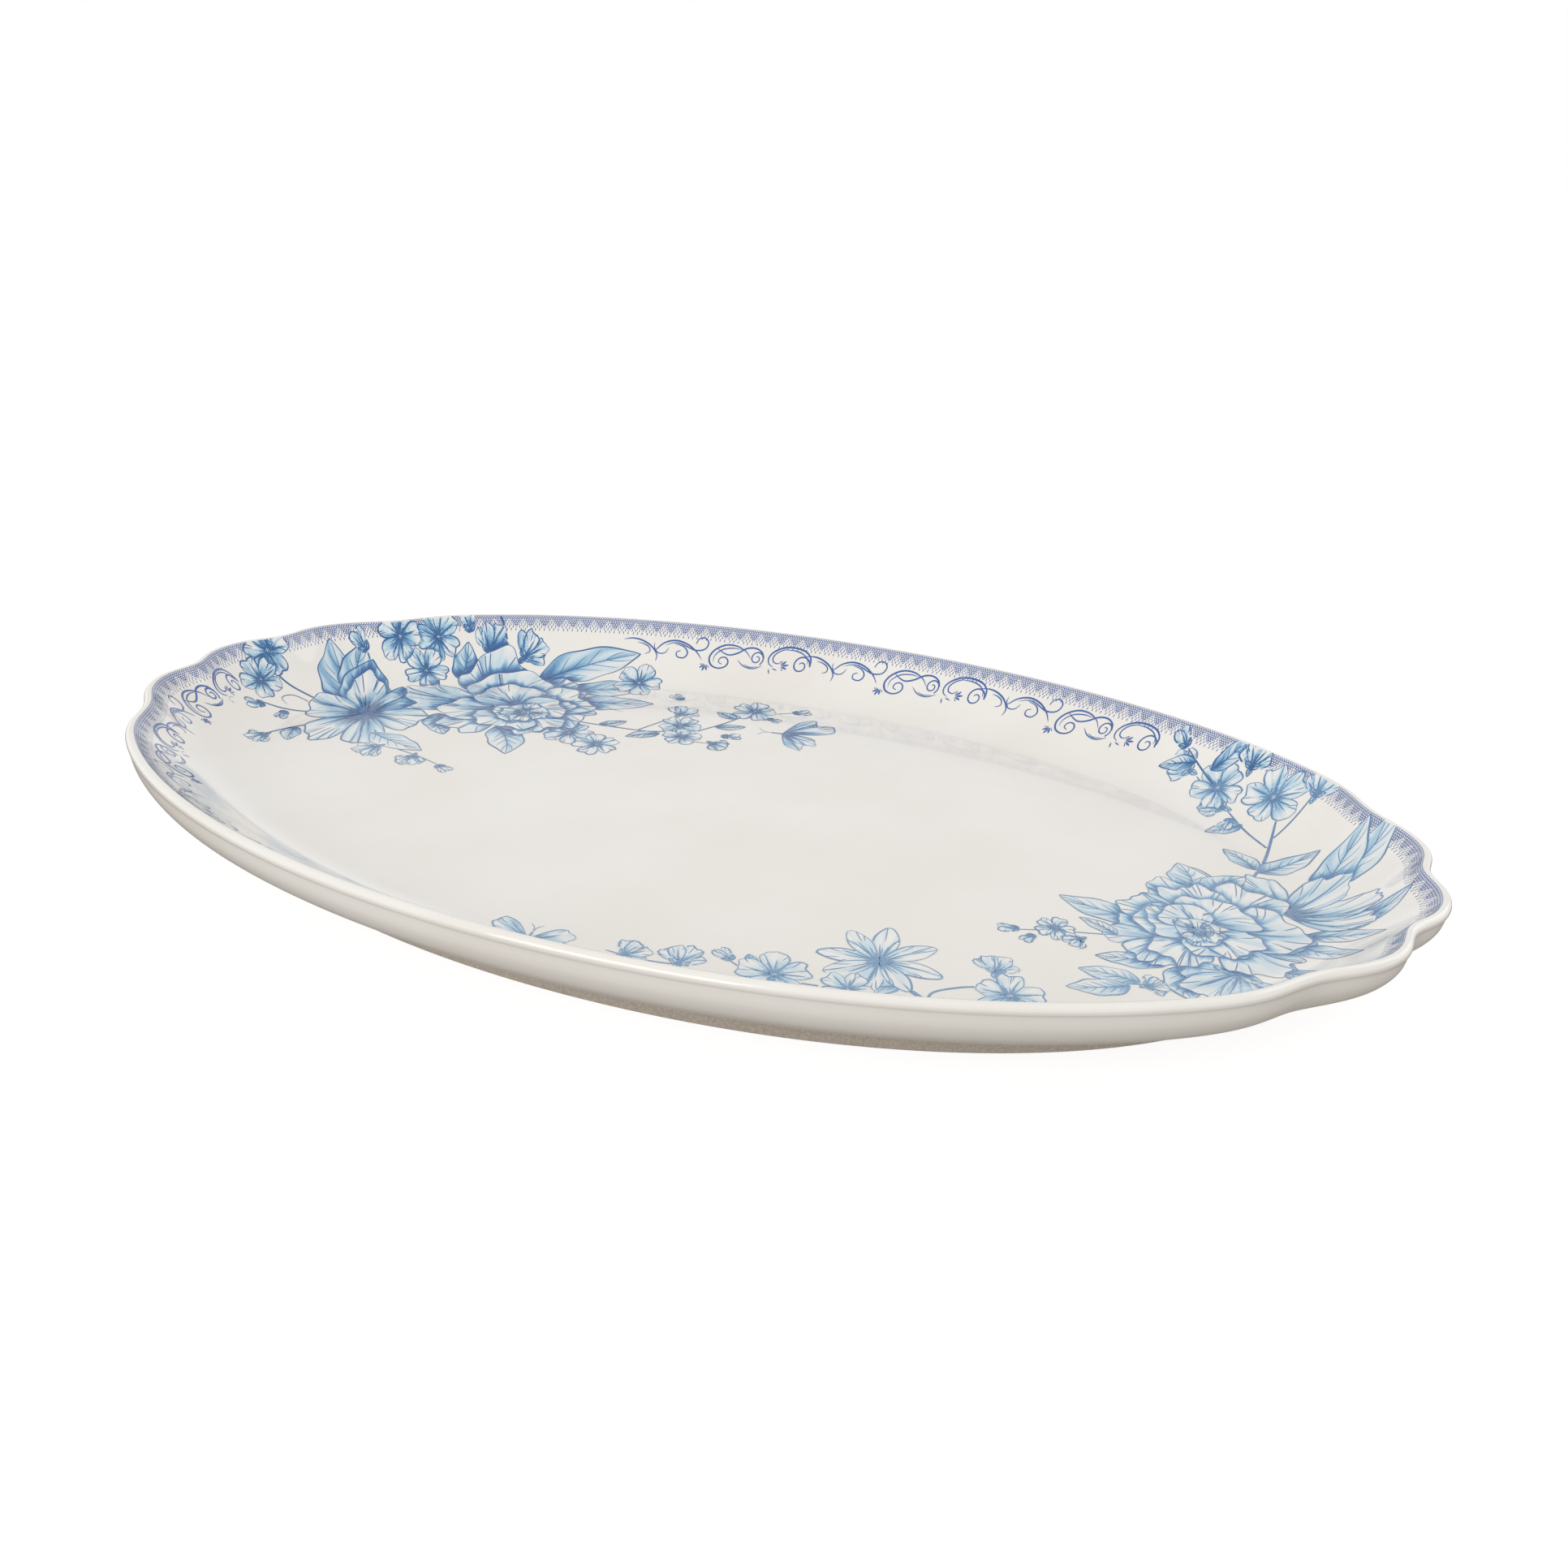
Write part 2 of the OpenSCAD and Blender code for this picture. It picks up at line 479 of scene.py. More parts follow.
@dataclass
class Blanks:
    """Cut shapes that every printed mark is copied from."""

    ribbons: dict[int, bpy.types.Mesh] = field(default_factory=dict)

    def ribbon(self, count: int) -> bpy.types.Mesh:
        """Strip of faces, two points wide.

        Args:
            count: Points along each side.

        Returns:
            The strip, with one side's points first and then the other's.
        """
        if count not in self.ribbons:
            clear_selection()
            bpy.ops.mesh.primitive_grid_add(
                x_subdivisions=count - 1, y_subdivisions=1, size=2.0, calc_uvs=False
            )
            blank = bpy.context.object
            bpy.ops.object.shade_smooth()
            self.ribbons[count] = blank.data
            bpy.data.objects.remove(blank)
        return self.ribbons[count]

    def clear(self) -> None:
        """Remove the blanks once all copies are made."""
        for mesh in self.ribbons.values():
            bpy.data.meshes.remove(mesh)
        self.ribbons.clear()


# ---- Finishes ----


class Nodes:
    """Small helper that builds one material's nodes."""

    def __init__(self, name: str) -> None:
        """Start a material with a Principled shader.

        Args:
            name: Name of the material.
        """
        self.material = bpy.data.materials.new(name)
        self.material.use_nodes = True
        self.tree = self.material.node_tree
        self.shader = self.tree.nodes["Principled BSDF"]

    def add(self, kind: str, **values: object) -> bpy.types.Node:
        """Add a node.

        Args:
            kind: Blender's name for the node type.
            values: Properties to set on it.

        Returns:
            The node.
        """
        node = self.tree.nodes.new(kind)
        for key, value in values.items():
            setattr(node, key, value)
        return node

    def link(self, source: bpy.types.NodeSocket, target: bpy.types.NodeSocket) -> None:
        """Link two sockets."""
        self.tree.links.new(source, target)

    def noise(self, scale: float, detail: float, roughness: float = 0.5) -> bpy.types.Node:
        """Noise over the object's own coordinates.

        Args:
            scale: Noise cells for each metre.
            detail: Octaves of detail.
            roughness: Share that each octave keeps.

        Returns:
            The noise node.
        """
        place = self.add("ShaderNodeTexCoord")
        noise = self.add("ShaderNodeTexNoise")
        noise.inputs["Scale"].default_value = scale
        noise.inputs["Detail"].default_value = detail
        noise.inputs["Roughness"].default_value = roughness
        self.link(place.outputs["Object"], noise.inputs["Vector"])
        return noise

    def ramp(self, factor: bpy.types.NodeSocket, stops: Sequence[tuple]) -> bpy.types.Node:
        """Colour ramp.

        Args:
            factor: Socket that drives it.
            stops: Pairs of place and linear colour.

        Returns:
            The ramp node.
        """
        node = self.add("ShaderNodeValToRGB")
        elements = node.color_ramp.elements
        while len(elements) < len(stops):
            elements.new(0.5)
        for element, (place, colour) in zip(elements, stops):
            element.position = place
            element.color = (*colour, 1.0)
        self.link(factor, node.inputs["Fac"])
        return node

    def bump(self, height: bpy.types.NodeSocket, strength: float, distance: float) -> None:
        """Bump the shader's normal.

        Args:
            height: Socket with the height.
            strength: Strength of the bump.
            distance: Height of the bump in metres.
        """
        node = self.add("ShaderNodeBump")
        node.inputs["Strength"].default_value = strength
        node.inputs["Distance"].default_value = distance
        self.link(height, node.inputs["Height"])
        self.link(node.outputs["Normal"], self.shader.inputs["Normal"])


def linear(red: int, green: int, blue: int) -> Triple:
    """Linear colour of an 8-bit display colour.

    Args:
        red: Red, 0 to 255.
        green: Green, 0 to 255.
        blue: Blue, 0 to 255.

    Returns:
        The linear colour.
    """
    shares = [value / 255 for value in (red, green, blue)]
    return tuple(s / 12.92 if s <= 0.04045 else ((s + 0.055) / 1.055) ** 2.4 for s in shares)


@dataclass(frozen=True)
class GlazeFinish:
    """Clear glossy glaze over warm white china."""

    milky: Triple = linear(243, 240, 235)
    creamy: Triple = linear(239, 235, 228)
    roughness: float = 0.13
    coat: float = 0.6
    coat_roughness: float = 0.04
    refraction: float = 1.5
    smoother: float = 0.03
    rougher: float = 0.05
    shine_scale: float = 34.0
    pool_scale: float = 22.0
    ripple_scale: float = 90.0

    def gloss(self, nodes: Nodes) -> None:
        """Give a shader the glaze's shine, which the prints under it share.

        Args:
            nodes: Material to give it to.
        """
        shader = nodes.shader
        shader.inputs["Coat Weight"].default_value = self.coat
        shader.inputs["Coat Roughness"].default_value = self.coat_roughness
        shader.inputs["IOR"].default_value = self.refraction
        pool = nodes.noise(self.shine_scale, 3.0)
        limits = nodes.add("ShaderNodeMapRange")
        limits.inputs["To Min"].default_value = self.roughness - self.smoother
        limits.inputs["To Max"].default_value = self.roughness + self.rougher
        nodes.link(pool.outputs["Fac"], limits.inputs["Value"])
        nodes.link(limits.outputs["Result"], shader.inputs["Roughness"])

    def material(self) -> bpy.types.Material:
        """Build the glaze.

        Returns:
            The material.
        """
        nodes = Nodes("glaze_white")
        pool = nodes.noise(self.pool_scale, 4.0)
        tint = nodes.ramp(pool.outputs["Fac"], [(0.35, self.milky), (0.65, self.creamy)])
        nodes.link(tint.outputs["Color"], nodes.shader.inputs["Base Color"])
        self.gloss(nodes)
        ripple = nodes.noise(self.ripple_scale, 2.0)
        nodes.bump(ripple.outputs["Fac"], 0.05, 0.0004)
        return nodes.material


@dataclass(frozen=True)
class WashFinish:
    """Watery blue print under the glaze, from bare white to deep blue."""

    glaze: GlazeFinish
    pale: Triple = linear(190, 216, 230)
    middle: Triple = linear(122, 172, 207)
    strong: Triple = linear(68, 122, 176)
    deep: Triple = linear(44, 88, 150)
    grain_scale: float = 900.0
    thinnest: float = 0.86
    thickest: float = 1.14

    def material(self) -> bpy.types.Material:
        """Build the wash, which reads each point's own depth of colour.

        Returns:
            The material.
        """
        nodes = Nodes("print_wash")
        depth = nodes.add("ShaderNodeAttribute", attribute_name="wash")
        grain = nodes.noise(self.grain_scale, 3.0)
        shift = nodes.add("ShaderNodeMapRange")
        shift.inputs["To Min"].default_value = self.thinnest
        shift.inputs["To Max"].default_value = self.thickest
        nodes.link(grain.outputs["Fac"], shift.inputs["Value"])
        product = nodes.add("ShaderNodeMath", operation="MULTIPLY")
        nodes.link(depth.outputs["Fac"], product.inputs[0])
        nodes.link(shift.outputs["Result"], product.inputs[1])
        tint = nodes.ramp(
            product.outputs["Value"],
            [
                (0.0, self.glaze.milky),
                (0.25, self.pale),
                (0.5, self.middle),
                (0.75, self.strong),
                (1.0, self.deep),
            ],
        )
        nodes.link(tint.outputs["Color"], nodes.shader.inputs["Base Color"])
        self.glaze.gloss(nodes)
        return nodes.material


@dataclass(frozen=True)
class InkFinish:
    """Printed ink of one blue, slightly uneven as transfers are."""

    name: str
    full: Triple
    thin: Triple
    glaze: GlazeFinish
    grain_scale: float = 420.0

    def material(self) -> bpy.types.Material:
        """Build the ink.

        Returns:
            The material.
        """
        nodes = Nodes(self.name)
        grain = nodes.noise(self.grain_scale, 3.0, 0.6)
        tint = nodes.ramp(grain.outputs["Fac"], [(0.3, self.full), (0.75, self.thin)])
        nodes.link(tint.outputs["Color"], nodes.shader.inputs["Base Color"])
        self.glaze.gloss(nodes)
        return nodes.material


@dataclass(frozen=True)
class BareClayFinish:
    """Unglazed fired clay of the standing ring, matt and a little gritty."""

    light: Triple = linear(204, 195, 182)
    dark: Triple = linear(168, 158, 145)
    roughness: float = 0.82
    grain_scale: float = 1400.0

    def material(self) -> bpy.types.Material:
        """Build the clay.

        Returns:
            The material.
        """
        nodes = Nodes("bare_clay")
        grain = nodes.noise(self.grain_scale, 5.0, 0.65)
        tint = nodes.ramp(grain.outputs["Fac"], [(0.3, self.dark), (0.7, self.light)])
        nodes.link(tint.outputs["Color"], nodes.shader.inputs["Base Color"])
        nodes.shader.inputs["Roughness"].default_value = self.roughness
        nodes.bump(grain.outputs["Fac"], 0.35, 0.0003)
        return nodes.material


# ---- The fired clay ----


@dataclass
class PlatterBody:
    """Glazed clay body: well, bowl wall, rolled edge, outside and underside."""

    dish: Dish
    finish: bpy.types.Material
    sections: int = 640
    wall_steps: int = 44
    lip_steps: int = 18
    outside_step: float = 0.9
    well_shares: tuple[float, ...] = (0.08, 0.2, 0.35, 0.5, 0.65, 0.8, 0.92, 1.0)
    well_insets: tuple[float, ...] = (55.0, 50.0, 46.0, 43.0, 40.5)
    under_shares: tuple[float, ...] = (0.97, 0.8, 0.6, 0.4, 0.2)
    rise_share: float = 0.2

    def loops(self) -> list[Array]:
        """Loops from the middle of the well, over the rim, to the underside.

        Returns:
            Rows of X, Y and Z in metres for each loop.
        """
        outline, profile = self.dish.outline, self.dish.profile
        turns = outline.section_turns(self.sections)
        core = outline.point(turns, profile.well_inset)
        floor = profile.floor_height
        loops = [level_loop(core * share, floor) for share in self.well_shares]
        loops += [level_loop(outline.point(turns, inset), floor) for inset in self.well_insets]
        just_below = 1e-6
        for inset in np.linspace(profile.wall_width, profile.wall_top, self.wall_steps):
            height = float(profile.height(np.array([inset + just_below]))[0])
            loops.append(level_loop(outline.point(turns, inset), height))
        lip = profile.lip(self.lip_steps)
        loops += [level_loop(outline.point(turns, inset), height) for inset, height in lip]
        drop_scale = (profile.rim_height - profile.underside) / profile.curve_drop
        last_inset, last_height = lip[-1]
        knots = [(last_inset, (profile.rim_height - last_height) / drop_scale)]
        knots += profile.outside()
        for inset, drop in smooth_path(knots, self.outside_step)[1:]:
            height = profile.rim_height - drop * drop_scale
            loops.append(level_loop(outline.tucked(turns, inset), height))
        seat = profile.seat_margin
        foot_middle = profile.foot_inset + profile.foot_land / 2
        foot_end = profile.foot_inset + profile.foot_land + 2 * seat
        for inset in (profile.foot_inset - seat, foot_middle, foot_end):
            loops.append(level_loop(outline.tucked(turns, inset), profile.underside))
        for share in self.under_shares:
            rise = profile.middle_rise * min(1.0, (1 - share) / self.rise_share)
            loops.append(level_loop(core * share, profile.underside + rise))
        return loops

    def build(self) -> bpy.types.Object:
        """Model the body.

        Returns:
            The piece.
        """
        piece = turned_shell("platter_glazed_body", self.loops(), ring_closed=False)
        piece.data.materials.append(self.finish)
        return piece


@dataclass
class StandingRing:
    """Bare ring under the body, with a flat land and sloping sides."""

    dish: Dish
    finish: bpy.types.Material
    sections: int = 400
    joint_gap: float = 0.02

    def build(self) -> bpy.types.Object:
        """Model the ring.

        Returns:
            The piece.
        """
        profile = self.dish.profile
        outer = profile.foot_inset
        inner = outer + profile.foot_land
        edge = profile.foot_round
        flare = profile.foot_flare
        under = profile.underside - self.joint_gap
        # Down the outer side, across the land and up the inner side
        section = [
            (outer - flare, under), (outer - flare * 0.75, under * 0.8),
            (outer - flare * 0.4, under * 0.45), (outer, edge), (outer + edge * 0.3, edge * 0.3),
            (outer + edge, 0.0), (inner - edge, 0.0), (inner - edge * 0.3, edge * 0.3),
            (inner, edge), (inner + flare * 0.4, under * 0.45),
            (inner + flare * 0.75, under * 0.8), (inner + flare, under),
        ]
        turns = self.dish.outline.section_turns(self.sections)
        outline = self.dish.outline
        loops = [level_loop(outline.tucked(turns, inset), height) for inset, height in section]
        piece = turned_shell("platter_standing_ring", loops, ring_closed=True)
        piece.data.materials.append(self.finish)
        return piece


# ---- Petals, leaves and pen strokes ----


class Cut(Enum):
    """Shapes that a petal or leaf is cut to."""

    LOBE = "lobe"
    LEAF = "leaf"


def pull(spots: Array, pivot: Spot, stretch: float) -> Array:
    """Draw points out along the direction that the flowers are long in.

    Args:
        spots: Rows of X and Y.
        pivot: Point that stays.
        stretch: How many times longer they get.

    Returns:
        Rows of X and Y.
    """
    turn = math.radians(FLOWER_TURN)
    direction = np.array([math.cos(turn), math.sin(turn)])
    along = (spots - np.array(pivot)) @ direction
    return spots + np.outer(along * (stretch - 1), direction)


@dataclass
class Stroke:
    """One pen stroke: its line, its width along it and how deep it lies."""

    path: Array
    widths: Array
    order: int = 0


def pen_widths(count: int, width: float, start: float, end: float) -> Array:
    """Widths along a stroke that swells in the middle.

    Args:
        count: Points along the stroke.
        width: Fullest width.
        start: Share of the width at the start.
        end: Share of the width at the end.

    Returns:
        One width for each point.
    """
    along = np.linspace(0, 1, count)
    swell = np.sin(np.pi * along) ** 0.6
    ends = start + (end - start) * along
    thinnest = 0.12
    return width * np.maximum(ends + (1 - ends) * swell, thinnest)


@dataclass(frozen=True)
class Petal:
    """A petal or leaf that spreads from its base, with its own shading."""

    base: Spot
    turn: float
    length: float
    spread: float
    cut: Cut = Cut.LOBE
    bend: float = 0.0
    blunt: float = 2.4
    ruffle: float = 0.0
    waves: float = 9.0
    phase: float = 0.0
    tip: float = 0.0
    deep: float = 0.8
    pale: float = 0.5
    engraving: int = 5
    line: float = 0.42
    pivot: Spot = (0.0, 0.0)
    stretch: float = 1.0

    def near(self, spots: Array) -> Array:
        """Mask of the points that are near enough to the petal to ask about."""
        middle = pull(np.array([self.base]), self.pivot, self.stretch)
        return np.abs(spots - middle).max(axis=1) < self.length * 1.25 * self.stretch

    def edge(self, across: Array) -> Array:
        """Share of the length that a lobe reaches at each place across.

        Args:
            across: Places across the petal, -1 to 1.

        Returns:
            The shares.
        """
        side = np.clip(np.abs(across), 0, 1)
        body = (1 - side**self.blunt) ** (1 / self.blunt)
        wave = 1 + self.ruffle * np.sin(self.waves * across + self.phase)
        wave = wave + 0.5 * self.ruffle * np.sin(2.3 * self.waves * across + 2 * self.phase)
        peak = 1 + self.tip * np.exp(-((across / 0.3) ** 2))
        return body * wave * peak

    def leaf_half(self, along: Array) -> Array:
        """Half-width of a leaf at each place along it.

        Args:
            along: Places along the leaf, 0 to 1.

        Returns:
            The half-widths in millimetres.
        """
        share = np.clip(along, 0, 1)
        swell = np.sin(np.pi * share**0.82) ** 0.85
        wave = 1 + self.ruffle * np.sin(self.waves * share * 3 + self.phase)
        return self.length * self.spread * swell * wave + 1e-6

    def place(self, across: Array, along: Array) -> Array:
        """Plan points of places on the petal.

        Args:
            across: Places across, -1 to 1.
            along: Places along, 0 to 1.

        Returns:
            Rows of X and Y.
        """
        if self.cut is Cut.LOBE:
            angle = np.radians(self.spread) * across
            radius = along * self.length * self.edge(across)
        else:
            forward = along * self.length
            sideways = across * self.leaf_half(along)
            angle = np.arctan2(sideways, forward)
            radius = np.hypot(forward, sideways)
        angle = angle + np.radians(self.turn + self.bend * radius / self.length)
        round_spots = np.column_stack([np.cos(angle), np.sin(angle)]) * radius[:, None]
        return pull(round_spots + self.base, self.pivot, self.stretch)

    def read(self, spots: Array) -> tuple[Array, Array, Array]:
        """Which plan points the petal covers, and where on it they lie.

        Args:
            spots: Rows of X and Y.

        Returns:
            A mask of the points covered, and their places across and along.
        """
        away = pull(spots, self.pivot, 1 / self.stretch) - np.array(self.base)
        radius = np.hypot(away[:, 0], away[:, 1])
        angle = np.degrees(np.arctan2(away[:, 1], away[:, 0]))
        angle = angle - self.turn - self.bend * radius / self.length
        angle = np.mod(angle + 180, 360) - 180
        if self.cut is Cut.LOBE:
            across = angle / self.spread
            along = radius / (self.length * np.maximum(self.edge(across), 1e-4))
        else:
            along = radius * np.cos(np.radians(angle)) / self.length
            across = radius * np.sin(np.radians(angle)) / self.leaf_half(along)
        inside = (np.abs(across) < 1) & (along > 0) & (along < 1)
        return inside, across, along

    def streaks(self, across: Array) -> Array:
        """Uneven streaks that run out from the base.

        Args:
            across: Places across the petal.

        Returns:
            Strengths of the streaks, 0 to 1.
        """
        wave = 0.5 + 0.22 * np.sin(11 * across + self.phase * 3)
        wave = wave + 0.17 * np.sin(23 * across + self.phase * 7)
        return np.clip(wave + 0.13 * np.sin(41 * across + self.phase * 11), 0, 1)

    def wash(self, across: Array, along: Array) -> Array:
        """Depth of the wash at places on the petal.

        Args:
            across: Places across, -1 to 1.
            along: Places along, 0 to 1.

        Returns:
            Depths from 0, bare glaze, to 1, deep blue.
        """
        streak = self.streaks(across)
        if self.cut is Cut.LOBE:
            base = self.deep * np.exp(-((along / (0.26 + 0.5 * streak**2)) ** 2))
            fold_at = 0.5 * math.sin(self.phase)
            fold = 0.75 * self.deep * np.exp(-(((across - fold_at) / 0.12) ** 2))
            fold = fold * np.clip(1.05 - along, 0, 1) * (0.4 + 0.6 * streak)
            sides = 0.7 * self.pale * np.clip((np.abs(across) - 0.5) / 0.5, 0, 1) ** 1.3
            cloud = np.sin(4.1 * along + 2.9 * across + self.phase * 5) * 0.5 + 0.5
            cloud = 0.6 * self.pale * cloud**1.5 * np.sin(np.pi * np.clip(along, 0, 1))
            tip = 0.7 * self.pale * streak**2 * np.clip((along - 0.75) / 0.25, 0, 1)
            depth = base * (0.5 + 0.5 * streak) + fold + sides + cloud + tip
        else:
            vein = 0.5 + 0.5 * np.sin(15 * along - 7 * np.abs(across) + self.phase)
            half = np.where(across > 0, 0.34, 0.14) * self.pale * 2
            spine = 0.5 * self.deep * np.exp(-((across / 0.22) ** 2)) * (1.1 - along)
            base = self.deep * np.exp(-((along / 0.26) ** 2)) * 0.8
            depth = half * (0.35 + 0.65 * vein) + spine + base
        rim_gap = np.clip((1 - along) * self.length / 0.6, 0, 1)
        return np.clip(depth, 0, 1) * (0.35 + 0.65 * rim_gap)

    def shade_beyond(self, across: Array, along: Array) -> Array:
        """Shade that the petal throws on what lies just beyond its edge.

        Args:
            across: Places across the petal.
            along: Places along it, more than 1 beyond its edge.

        Returns:
            Depths of the shade.
        """
        if self.cut is Cut.LEAF:
            return np.zeros_like(along)
        beyond = (along - 1) * self.length * np.maximum(self.edge(across), 0.02)
        reach = self.length * (0.1 + 0.27 * self.streaks(across * 1.7))
        fall = np.clip(1 - beyond / reach, 0, 1) ** 1.4
        return np.where((beyond > 0) & (np.abs(across) < 0.98), 1.1 * self.deep * fall, 0.0)

    def strokes(self, dice: random.Random) -> list[Stroke]:
        """Outline and engraved strokes of the petal.

        Args:
            dice: The film's dice.

        Returns:
            The strokes, in plan millimetres.
        """
        return self.lobe_strokes(dice) if self.cut is Cut.LOBE else self.leaf_strokes(dice)

    def lobe_strokes(self, dice: random.Random) -> list[Stroke]:
        """Outline of a lobe, rays from its base and short rays from its edge.

        Args:
            dice: The film's dice.

        Returns:
            The strokes.
        """
        fine = self.line * 0.6
        count = max(14, int(self.length * math.radians(self.spread) * 2.6 / 0.6))
        across = np.sin(np.linspace(-1, 1, count) * np.pi / 2)
        rim = self.place(across, np.ones(count))
        uneven = 0.75 + 0.35 * np.sin(np.linspace(0, 5.0, count) + self.phase)
        marks = [Stroke(rim, self.line * uneven)]
        rays = self.engraving
        for k in range(rays):
            lean = (k + 0.5 + dice.uniform(-0.3, 0.3)) / rays * 1.7 - 0.85
            reach = dice.uniform(0.32, 0.72) * (1 - 0.3 * abs(lean))
            marks.append(self.ray(lean, lean * 1.06, 0.06, reach, fine * 1.3, 1.0, 0.0))
        for k in range(1 + rays // 2):
            lean = dice.uniform(-0.7, 0.7)
            inner = dice.uniform(0.55, 0.75)
            marks.append(self.ray(lean, lean * 0.8, 0.98, inner, fine, 0.9, 0.0))
        fold_at = 0.5 * math.sin(self.phase)
        marks.append(self.ray(fold_at * 0.8, fold_at, 0.1, 0.82, self.line * 0.9, 1.0, 0.0))
        return marks

    def leaf_strokes(self, dice: random.Random) -> list[Stroke]:
        """Outline, midrib and side veins of a leaf.

        Args:
            dice: The film's dice.

        Returns:
            The strokes.
        """
        count = max(10, int(self.length / 0.7))
        along = np.linspace(0, 1, count)
        marks = []
        for side in (-1.0, 1.0):
            rim = self.place(np.full(count, side), along)
            uneven = 0.8 + 0.3 * np.sin(np.linspace(0, 6, count) + self.phase + side)
            marks.append(Stroke(rim, self.line * uneven))
        midrib = self.place(np.zeros(count), along * 0.96)
        marks.append(Stroke(midrib, self.line * np.linspace(1.1, 0.35, count)))
        veins = max(2, self.engraving)
        for k in range(veins):
            for side in (-1.0, 1.0):
                start = (k + 0.4 + dice.uniform(-0.15, 0.15)) / veins * 0.78
                lean = side * dice.uniform(0.62, 0.85)
                marks.append(self.ray(0.03 * side, lean, start, start + 0.2, 0.24, 1.0, 0.0))
        return marks

    def ray(
        self, from_across: float, to_across: float, from_along: float, to_along: float,
        width: float, start: float, end: float,
    ) -> Stroke:
        """Stroke between two places on the petal.

        Args:
            from_across: Place across at its start.
            to_across: Place across at its end.
            from_along: Place along at its start.
            to_along: Place along at its end.
            width: Fullest width.
            start: Share of the width at the start.
            end: Share of the width at the end.

        Returns:
            The stroke.
        """
        reach = abs(to_along - from_along) * self.length
        count = max(4, int(reach / 0.6))
        across = np.linspace(from_across, to_across, count)
        along = np.linspace(from_along, to_along, count)
        return Stroke(self.place(across, along), pen_widths(count, width, start, end))


@dataclass
class Film:
    """One printed transfer: petals painted back to front, with pen strokes."""

    node: str
    seed: int
    # How strongly the film is printed; the paler tones partly paint in the glaze's sheen
    tone: PrintToneAndSheen = PrintToneAndSheen.FULL
    petals: list[Petal] = field(default_factory=list)
    strokes: list[Stroke] = field(default_factory=list)
    pivot: Spot = (0.0, 0.0)
    stretch: float = 1.0
    dice: random.Random = field(init=False)

    def __post_init__(self) -> None:
        """Seed the film's own dice."""
        self.dice = random.Random(self.seed)

    def hold(self, pivot: Spot, stretch: float) -> None:
        """Draw what follows long, about a pivot."""
        self.pivot, self.stretch = pivot, stretch

    def add(self, petal: Petal) -> None:
        """Lay a petal over what is there, with its strokes.

        Args:
            petal: The petal.
        """
        petal = replace(petal, pivot=self.pivot, stretch=self.stretch)
        self.petals.append(petal)
        for mark in petal.strokes(self.dice):
            mark.order = len(self.petals)
            self.strokes.append(mark)

    def pen(
        self, knots: Sequence[Spot], width: float, start: float = 0.0, end: float = 0.0
    ) -> None:
        """Draw a smooth stroke through knots.

        Args:
            knots: Points that the stroke goes through.
            width: Fullest width.
            start: Share of the width at the start.
            end: Share of the width at the end.
        """
        path = pull(smooth_path(knots), self.pivot, self.stretch)
        widths = pen_widths(len(path), width, start, end)
        self.strokes.append(Stroke(path, widths, len(self.petals)))

    def stem(self, knots: Sequence[Spot], width: float = 0.85) -> None:
        """Draw a stem, thick at its foot and thin at its end."""
        self.pen(knots, width, 1.0, 0.45)

    def dot(self, at: Spot, size: float) -> None:
        """Draw a dot, as a very short stroke."""
        half = size * 0.5
        self.pen([(at[0] - half, at[1]), at, (at[0] + half, at[1])], size, 0.5, 0.5)


def past_the_rim(outline: Outline, spots: Array) -> Array:
    """Find which points lie on the rolled edge or beyond it.

    Args:
        outline: The dish's outline.
        spots: Rows of X and Y.

    Returns:
        A mask of the points.
    """
    share = np.linalg.norm(spots / np.array([outline.half_length, outline.half_width]), axis=1)
    out = share > 1.0
    ask = np.nonzero((share > 0.9) & ~out)[0]
    if len(ask):
        out[ask] = outline.locate(spots[ask])[1] < FIRST_PRINTED_INSET
    return out


def hidden_parts(
    outline: Outline, strokes: list[Stroke], petals: list[Petal], covers: list[Petal]
) -> list[Array]:
    """Find which points of strokes lie under petals, or past the rim.

    Args:
        outline: The dish's outline.
        strokes: The strokes.
        petals: The film's own petals, back to front; a stroke is hidden by later ones.
        covers: Petals of other films that lie over all the strokes.

    Returns:
        One mask for each stroke.
    """
    sizes = [len(mark.path) for mark in strokes]
    spots = np.vstack([mark.path for mark in strokes])
    orders = np.concatenate([np.full(len(mark.path), mark.order) for mark in strokes])
    hidden = past_the_rim(outline, spots)
    layers = list(enumerate(petals)) + [(len(petals), petal) for petal in covers]
    for number, petal in layers:
        ask = np.nonzero(petal.near(spots) & (orders <= number) & ~hidden)[0]
        if len(ask):
            hidden[ask] = petal.read(spots[ask])[0]
    return np.split(hidden, np.cumsum(sizes)[:-1])


def under_petals(spots: Array, petals: Sequence[Petal], among: Array) -> Array:
    """Find which of some points lie under petals.

    Args:
        spots: Rows of X and Y.
        petals: The petals.
        among: Mask of the points to ask about.

    Returns:
        A mask of the points under petals.
    """
    under = np.zeros(len(spots), bool)
    for petal in petals:
        ask = np.nonzero(petal.near(spots) & among)[0]
        if len(ask):
            under[ask] |= petal.read(spots[ask])[0]
    return under


def visible_runs(mark: Stroke, hidden: Array) -> list[Stroke]:
    """Parts of a stroke that aren't hidden.

    Args:
        mark: The stroke.
        hidden: Mask of its hidden points.

    Returns:
        The parts, each with at least three points.
    """
    seen = np.nonzero(~hidden)[0]
    if not len(seen):
        return []
    runs = np.split(seen, np.nonzero(np.diff(seen) > 1)[0] + 1)
    return [Stroke(mark.path[run], mark.widths[run]) for run in runs if len(run) > 2]


